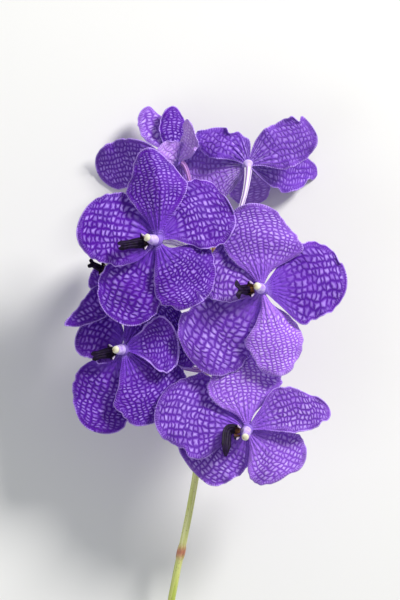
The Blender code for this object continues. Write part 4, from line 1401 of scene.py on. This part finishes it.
def make_stem_finish():
    material, tree, shader = start_material("stem_green", Roughness=0.45)
    turn, share = read_turn(tree)
    place = vector_of(tree, sum_of(tree, "SINE", turn), sum_of(tree, "COSINE", turn),
                      scaled(tree, share, 9.0))
    noise = add_node(tree, "TexNoise", {"Vector": place, "Scale": 2.2, "Detail": 3.0})
    streak = noise.outputs["Fac"]
    speck = scaled(tree, rise(tree, object_noise(tree, scale=900.0, detail=2.0), 0.62, 0.7), 0.5)
    green = blend(tree, rise(tree, streak, 0.35, 0.65), *STEM_GREENS)
    lit_straw = blend(tree, rise(tree, streak, 0.35, 0.65), *STEM_LIT_STRAWS)
    # Towards the head the greens give way to the paler ones: partly the stem's own colour, partly
    # painted light
    green = blend(tree, rise(tree, share, 0.36, 0.5), green, lit_straw)
    dotted = blend(tree, speck, green, SPECK_BROWN)
    sheath = blend(tree, rise(tree, streak, 0.3, 0.7), *SHEATH_BROWNS)
    wrapped = blend(tree, read_value(tree, "zone"), dotted, sheath)
    cut = blend(tree, read_value(tree, "throat"), wrapped, CUT_CREAM)
    end_material(tree, shader, cut, streak, 0.0002)
    return material


stem_finish = make_stem_finish()
print("finish:", stem_finish.name)

# %% [markdown]
# ## The stem
# The stem is a rolled grid with more rows at the sheaths. Its ends could be filled with flat
# discs. Here the last two rows close in to the middle almost in one plane, so the cut is flat
# and the skin stays one piece.

# %% Make the stem
END_ROWS = (0.03, 0.015)  # how far past the end of the path the two rows that close it are
SHARP_EDGE = math.radians(50)
STEM_ANGLES = 5
STEM_ANGLE_RISE = 0.025   # how far they stand out, as a share of the radius


def open_tube(name, columns, path, first_side, radius):
    """A tube with flat ends. radius(turn, share) is its radius along the path."""
    forward = unit(np.gradient(path, axis=0))
    starts = [path[0] - forward[0] * f for f in END_ROWS]
    ends = [path[-1] + forward[-1] * f for f in END_ROWS[::-1]]
    whole = np.vstack((starts, path, ends))
    last = len(whole) - 1

    def section(turn, share):
        row = np.rint(share * last)
        place = np.clip((row - 2) / (last - 4), 0, 1)
        closing = np.interp(row, (0, 1, 2, last - 2, last - 1, last), (0, 0.85, 1, 1, 0.85, 0))
        return round_section(turn, radius(turn, place) * closing)

    piece = rolled(name, columns, whole, section, first_side)
    bpy.ops.object.shade_smooth_by_angle(angle=SHARP_EDGE)
    return piece


def make_stem():
    near = [place + f * length for place, length in SHEATHS for f in np.linspace(-0.6, 0.6, 25)]
    rows = np.sort(np.concatenate((np.linspace(STEM_CUT, STEM_TOP, 150), near)))
    stops = np.linspace(0, 1, len(rows))

    def radius(turn, share):
        y = np.interp(share, stops, rows)
        return stem_radius(y) * (1 + STEM_ANGLE_RISE * np.cos(STEM_ANGLES * turn + 0.03 * y))

    piece = open_tube("stem_fine", 36, stem_at(rows), (1, 0, 0), radius)
    places = places_of(piece)
    off = np.linalg.norm((places - stem_at(places[:, 1]))[:, (0, 2)], axis=1)
    on_cut = (places[:, 1] < STEM_CUT + 0.1) * (off < 0.9 * STEM_RADII[0])
    write_value(piece, "zone", sheath_share(places[:, 1]))
    write_value(piece, "throat", on_cut)
    hand_over(piece, "stem", stem_finish)
    return piece


stem = make_stem()
print("stem faces:", len(stem.data.polygons))

# %% [markdown]
# ## Stalks
# Each bloom hangs on its stalk, ribbed, white to lilac with violet stripes along the ribs, and
# pinker towards the stem. Stripes and ribs could be two patterns that are fitted to each other.
# Both count the same turns round the tube here, so they agree. The tube follows a curve of four
# points, straight out of the stem at one end and straight into the hub at the other.

# %% Stalk finish
STALK_STEM_PINK = colour(194, 142, 206)
STALK_WHITE = colour(238, 228, 246)
STALK_TINT_AND_SHADE = colour(184, 118, 196)
STALK_STRIPE = colour(146, 88, 190)
RIBS = 6


def make_stalk_finish():
    material, tree, shader = start_material("stalk_striped", Roughness=0.42)
    turn, share = read_turn(tree)
    wander = object_noise(tree, scale=60.0, detail=2.0)
    angle = sum_of(tree, "ADD", scaled(tree, turn, float(RIBS)), scaled(tree, wander, 3.0))
    wave = sum_of(tree, "SINE", angle)
    stripe = scaled(tree, rise(tree, wave, 0.0, 0.95), ranged(tree, wander, 0.4, 1.1))
    ground = blend(tree, rise(tree, share, 0.0, 0.55), STALK_STEM_PINK, STALK_WHITE)
    # The zone attribute tints a stalk violet: partly its own colour, partly painted shade
    ground = blend(tree, read_value(tree, "zone"), ground, STALK_TINT_AND_SHADE)
    end_material(tree, shader, blend(tree, stripe, ground, STALK_STRIPE), wave, 0.00015)
    return material


stalk_finish = make_stalk_finish()
print("finish:", stalk_finish.name)

# %% Make the stalks
PEDICEL_RADIUS = 1.6
RIB_RISE = 0.08           # how far the ribs stand out, as a share of the radius
# Where on the stem a stalk starts and in which direction, how far it keeps that direction and
# the bloom's, and its radius
PEDICELS = {
    "bloom_front": (30.0, (-0.5, 0.2, 0.8), 22, 18, PEDICEL_RADIUS),
    "bloom_right": (-14.0, (0.75, 0.2, 0.6), 20, 16, PEDICEL_RADIUS),
    "bloom_low": (-60.0, (0.6, -0.2, 0.75), 16, 14, PEDICEL_RADIUS),
    "bloom_left": (-43.0, (-0.85, 0.1, 0.5), 20, 16, PEDICEL_RADIUS),
    "bloom_side": (2.0, (-0.95, 0.15, 0.2), 24, 12, PEDICEL_RADIUS),
    "bloom_top_left": (56.0, (-0.75, 0.6, -0.3), 14, 8, 1.2),
    "bloom_top_right": (38.0, (0.8, 0.5, 0.1), 14, 18, PEDICEL_RADIUS),
}
# The top left bloom's stalk is violet all over: partly its own pink-lilac, partly painted shade
# from its bloom
STALK_TINTS_AND_SHADE = {"bloom_top_left": 0.9}         # how violet a stalk is all over


def root_of_pedicel(name):
    """Stem centre, outward direction and stem direction where a stalk starts."""
    y, direction, *_ = PEDICELS[name]
    axis = unit(stem_at(y + 1) - stem_at(y - 1))
    direction = np.array(direction, float)
    return stem_at(y), unit(direction - axis * np.dot(direction, axis)), axis


def make_pedicel(b):
    centre, outward, _ = root_of_pedicel(b.name)
    start = centre + outward * (stem_radius(centre[1]) + GAP)
    back = -unit(b.facing)
    end = np.array(b.centre) + back * (HUB_BACK + GAP)
    root_run, bloom_run, thickness = PEDICELS[b.name][2:]
    s = np.linspace(0, 1, 57)[:, None]
    path = (1 - s) ** 3 * start + 3 * s * (1 - s) ** 2 * (start + outward * root_run)
    path = path + 3 * s * s * (1 - s) * (end + back * bloom_run) + s ** 3 * end

    def radius(turn, share):
        ribs = 1 + RIB_RISE * np.cos(RIBS * turn) * step(0.1, 0.5, share)
        return thickness * (1.15 - 0.3 * np.sin(np.pi * share) + 0.4 * share ** 3) * ribs

    piece = open_tube(b.name + "_stalk", 30, path, (0.3, 0.2, 1), radius)
    write_value(piece, "zone", STALK_TINTS_AND_SHADE.get(b.name, 0.0))
    hand_over(piece, b.name + "_pedicel", stalk_finish)
    return piece


stalks = [make_pedicel(b) for b in BLOOMS]
print("stalks:", len(stalks))

# %% [markdown]
# ## Bracts
# A small brown papery bract hugs the stem below each stalk. It could be cut from the stem's own
# skin, but it is a dry leaf of its own. A sheet is wrapped round the stem, pointed at its end and
# crumpled a little, and gets its thickness.

# %% Make the bracts
BRACT_LENGTH = 6.0
BRACT_THICKNESS = 0.5
BRACT_SPREAD = math.radians(62)
BRACT_DARK = colour(122, 74, 58)
BRACT_PALE = colour(168, 124, 92)


def make_bract_finish():
    material, tree, shader = start_material("bract_paper", Roughness=0.8)
    noise = object_noise(tree, scale=300.0, detail=4.0)
    shade = blend(tree, rise(tree, noise, 0.35, 0.65), BRACT_DARK, BRACT_PALE)
    end_material(tree, shader, shade, noise, 0.0002)
    return material


def make_bract(b, seed):
    centre, outward, axis = root_of_pedicel(b.name)
    side = np.cross(axis, outward)
    random = np.random.default_rng(seed)
    shift = random.uniform(0, ROUGH_TURN, 2)
    obj, x, y = flat_grid(b.name + "_scale", 18, 18)
    angle = (2 * x - 1) * BRACT_SPREAD * (1 - y ** 2)
    middle = centre - axis * (PEDICEL_RADIUS * 1.2 + GAP + BRACT_LENGTH * (1 - y))[:, None]
    ridge = 0.12 * np.cos(9 * angle + shift[0]) + 0.15 * np.sin(5 * y + shift[1]) * y
    radius = stem_radius(middle[:, 1]) + GAP + 0.35 + 0.5 * y ** 2 + ridge
    around_stem = outward * np.cos(angle)[:, None] + side * np.sin(angle)[:, None]
    move_to(obj, middle + around_stem * radius[:, None])
    thicken(obj, BRACT_THICKNESS)
    hand_over(obj, b.name + "_bract", bract_finish)
    return obj


bract_finish = make_bract_finish()
bracts = [make_bract(b, 70 + i) for i, b in enumerate(BLOOMS)]
print("bracts:", len(bracts), "in", bract_finish.name)

# %% [markdown]
# ## The floor
# The flower lies on a plain pale surface. A backdrop could be bent up behind it, but the camera
# looks straight down, so one wide plane is enough. It is stage and no part of the flower.

# %% Floor
FLOOR_SIZE = 12
FLOOR_DROP = 0.0002       # metres between the floor and the lowest point of the flower

floor_finish, floor_tree, floor_shader = start_material("pale_floor", Roughness=0.8)
floor_tones = colour(236, 236, 232), colour(228, 228, 226)
floor_colour = blend(floor_tree, object_noise(floor_tree, scale=3.0, detail=2.0), *floor_tones)
plug(floor_tree, floor_colour, floor_shader.inputs["Base Color"])
bpy.ops.object.select_all(action="DESELECT")
bpy.ops.mesh.primitive_plane_add(size=FLOOR_SIZE, location=(0, 0, -FLOOR_DROP))
floor = bpy.context.object
floor.name = "floor"
floor.data.materials.append(floor_finish)
floor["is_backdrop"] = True
print("floor:", floor.name)

# %% [markdown]
# ## The light
# In the photograph soft light comes from the upper right and the shadows are faint. A sun would
# draw them hard. So one large round lamp is the key light, a wider weak one fills in from the
# other side, and an even pale sky lights the rest.

# %% Lights
LIGHT_AIM = (0.0, 0.08, 0.06)
SKY = (0.93, 0.96, 1.0)
SKY_STRENGTH = 0.42


def add_light(name, place, size, power, tint):
    light = bpy.data.lights.new(name, "AREA")
    light.shape = "DISK"
    light.size = size
    light.energy = power
    light.color = tint
    lamp = bpy.data.objects.new(name, light)
    bpy.context.scene.collection.objects.link(lamp)
    lamp.location = place
    aim = np.subtract(LIGHT_AIM, place)
    lamp.rotation_euler = Vector(aim).to_track_quat("-Z", "Y").to_euler()


add_light("key", place=(1.3, 1.4, 1.4), size=0.7, power=62, tint=(1.0, 0.98, 0.96))
add_light("fill", place=(-1.4, -0.8, 1.6), size=1.6, power=9, tint=SKY)
world = bpy.data.worlds.new("studio")
bpy.context.scene.world = world
world.use_nodes = True
background = world.node_tree.nodes["Background"]
background.inputs["Color"].default_value = SKY + (1,)
background.inputs["Strength"].default_value = SKY_STRENGTH
bpy.context.scene.view_settings.view_transform = "Standard"
print("lights:", len(bpy.data.lights))

# %% [markdown]
# ## The sizes
# The script prints how far the fine pieces stand past the imported model's box. The fine pieces
# have to stay within the imported model's box. Both boxes could be read off in the viewport, but
# printed numbers are easier to compare after each render.

# %% Print the sizes
new_low, new_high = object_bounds()
past_box = np.concatenate((cad_low - new_low, new_high - cad_high)) / MM
print("past the packed model's box:", past_box.round(2).tolist(), "mm")
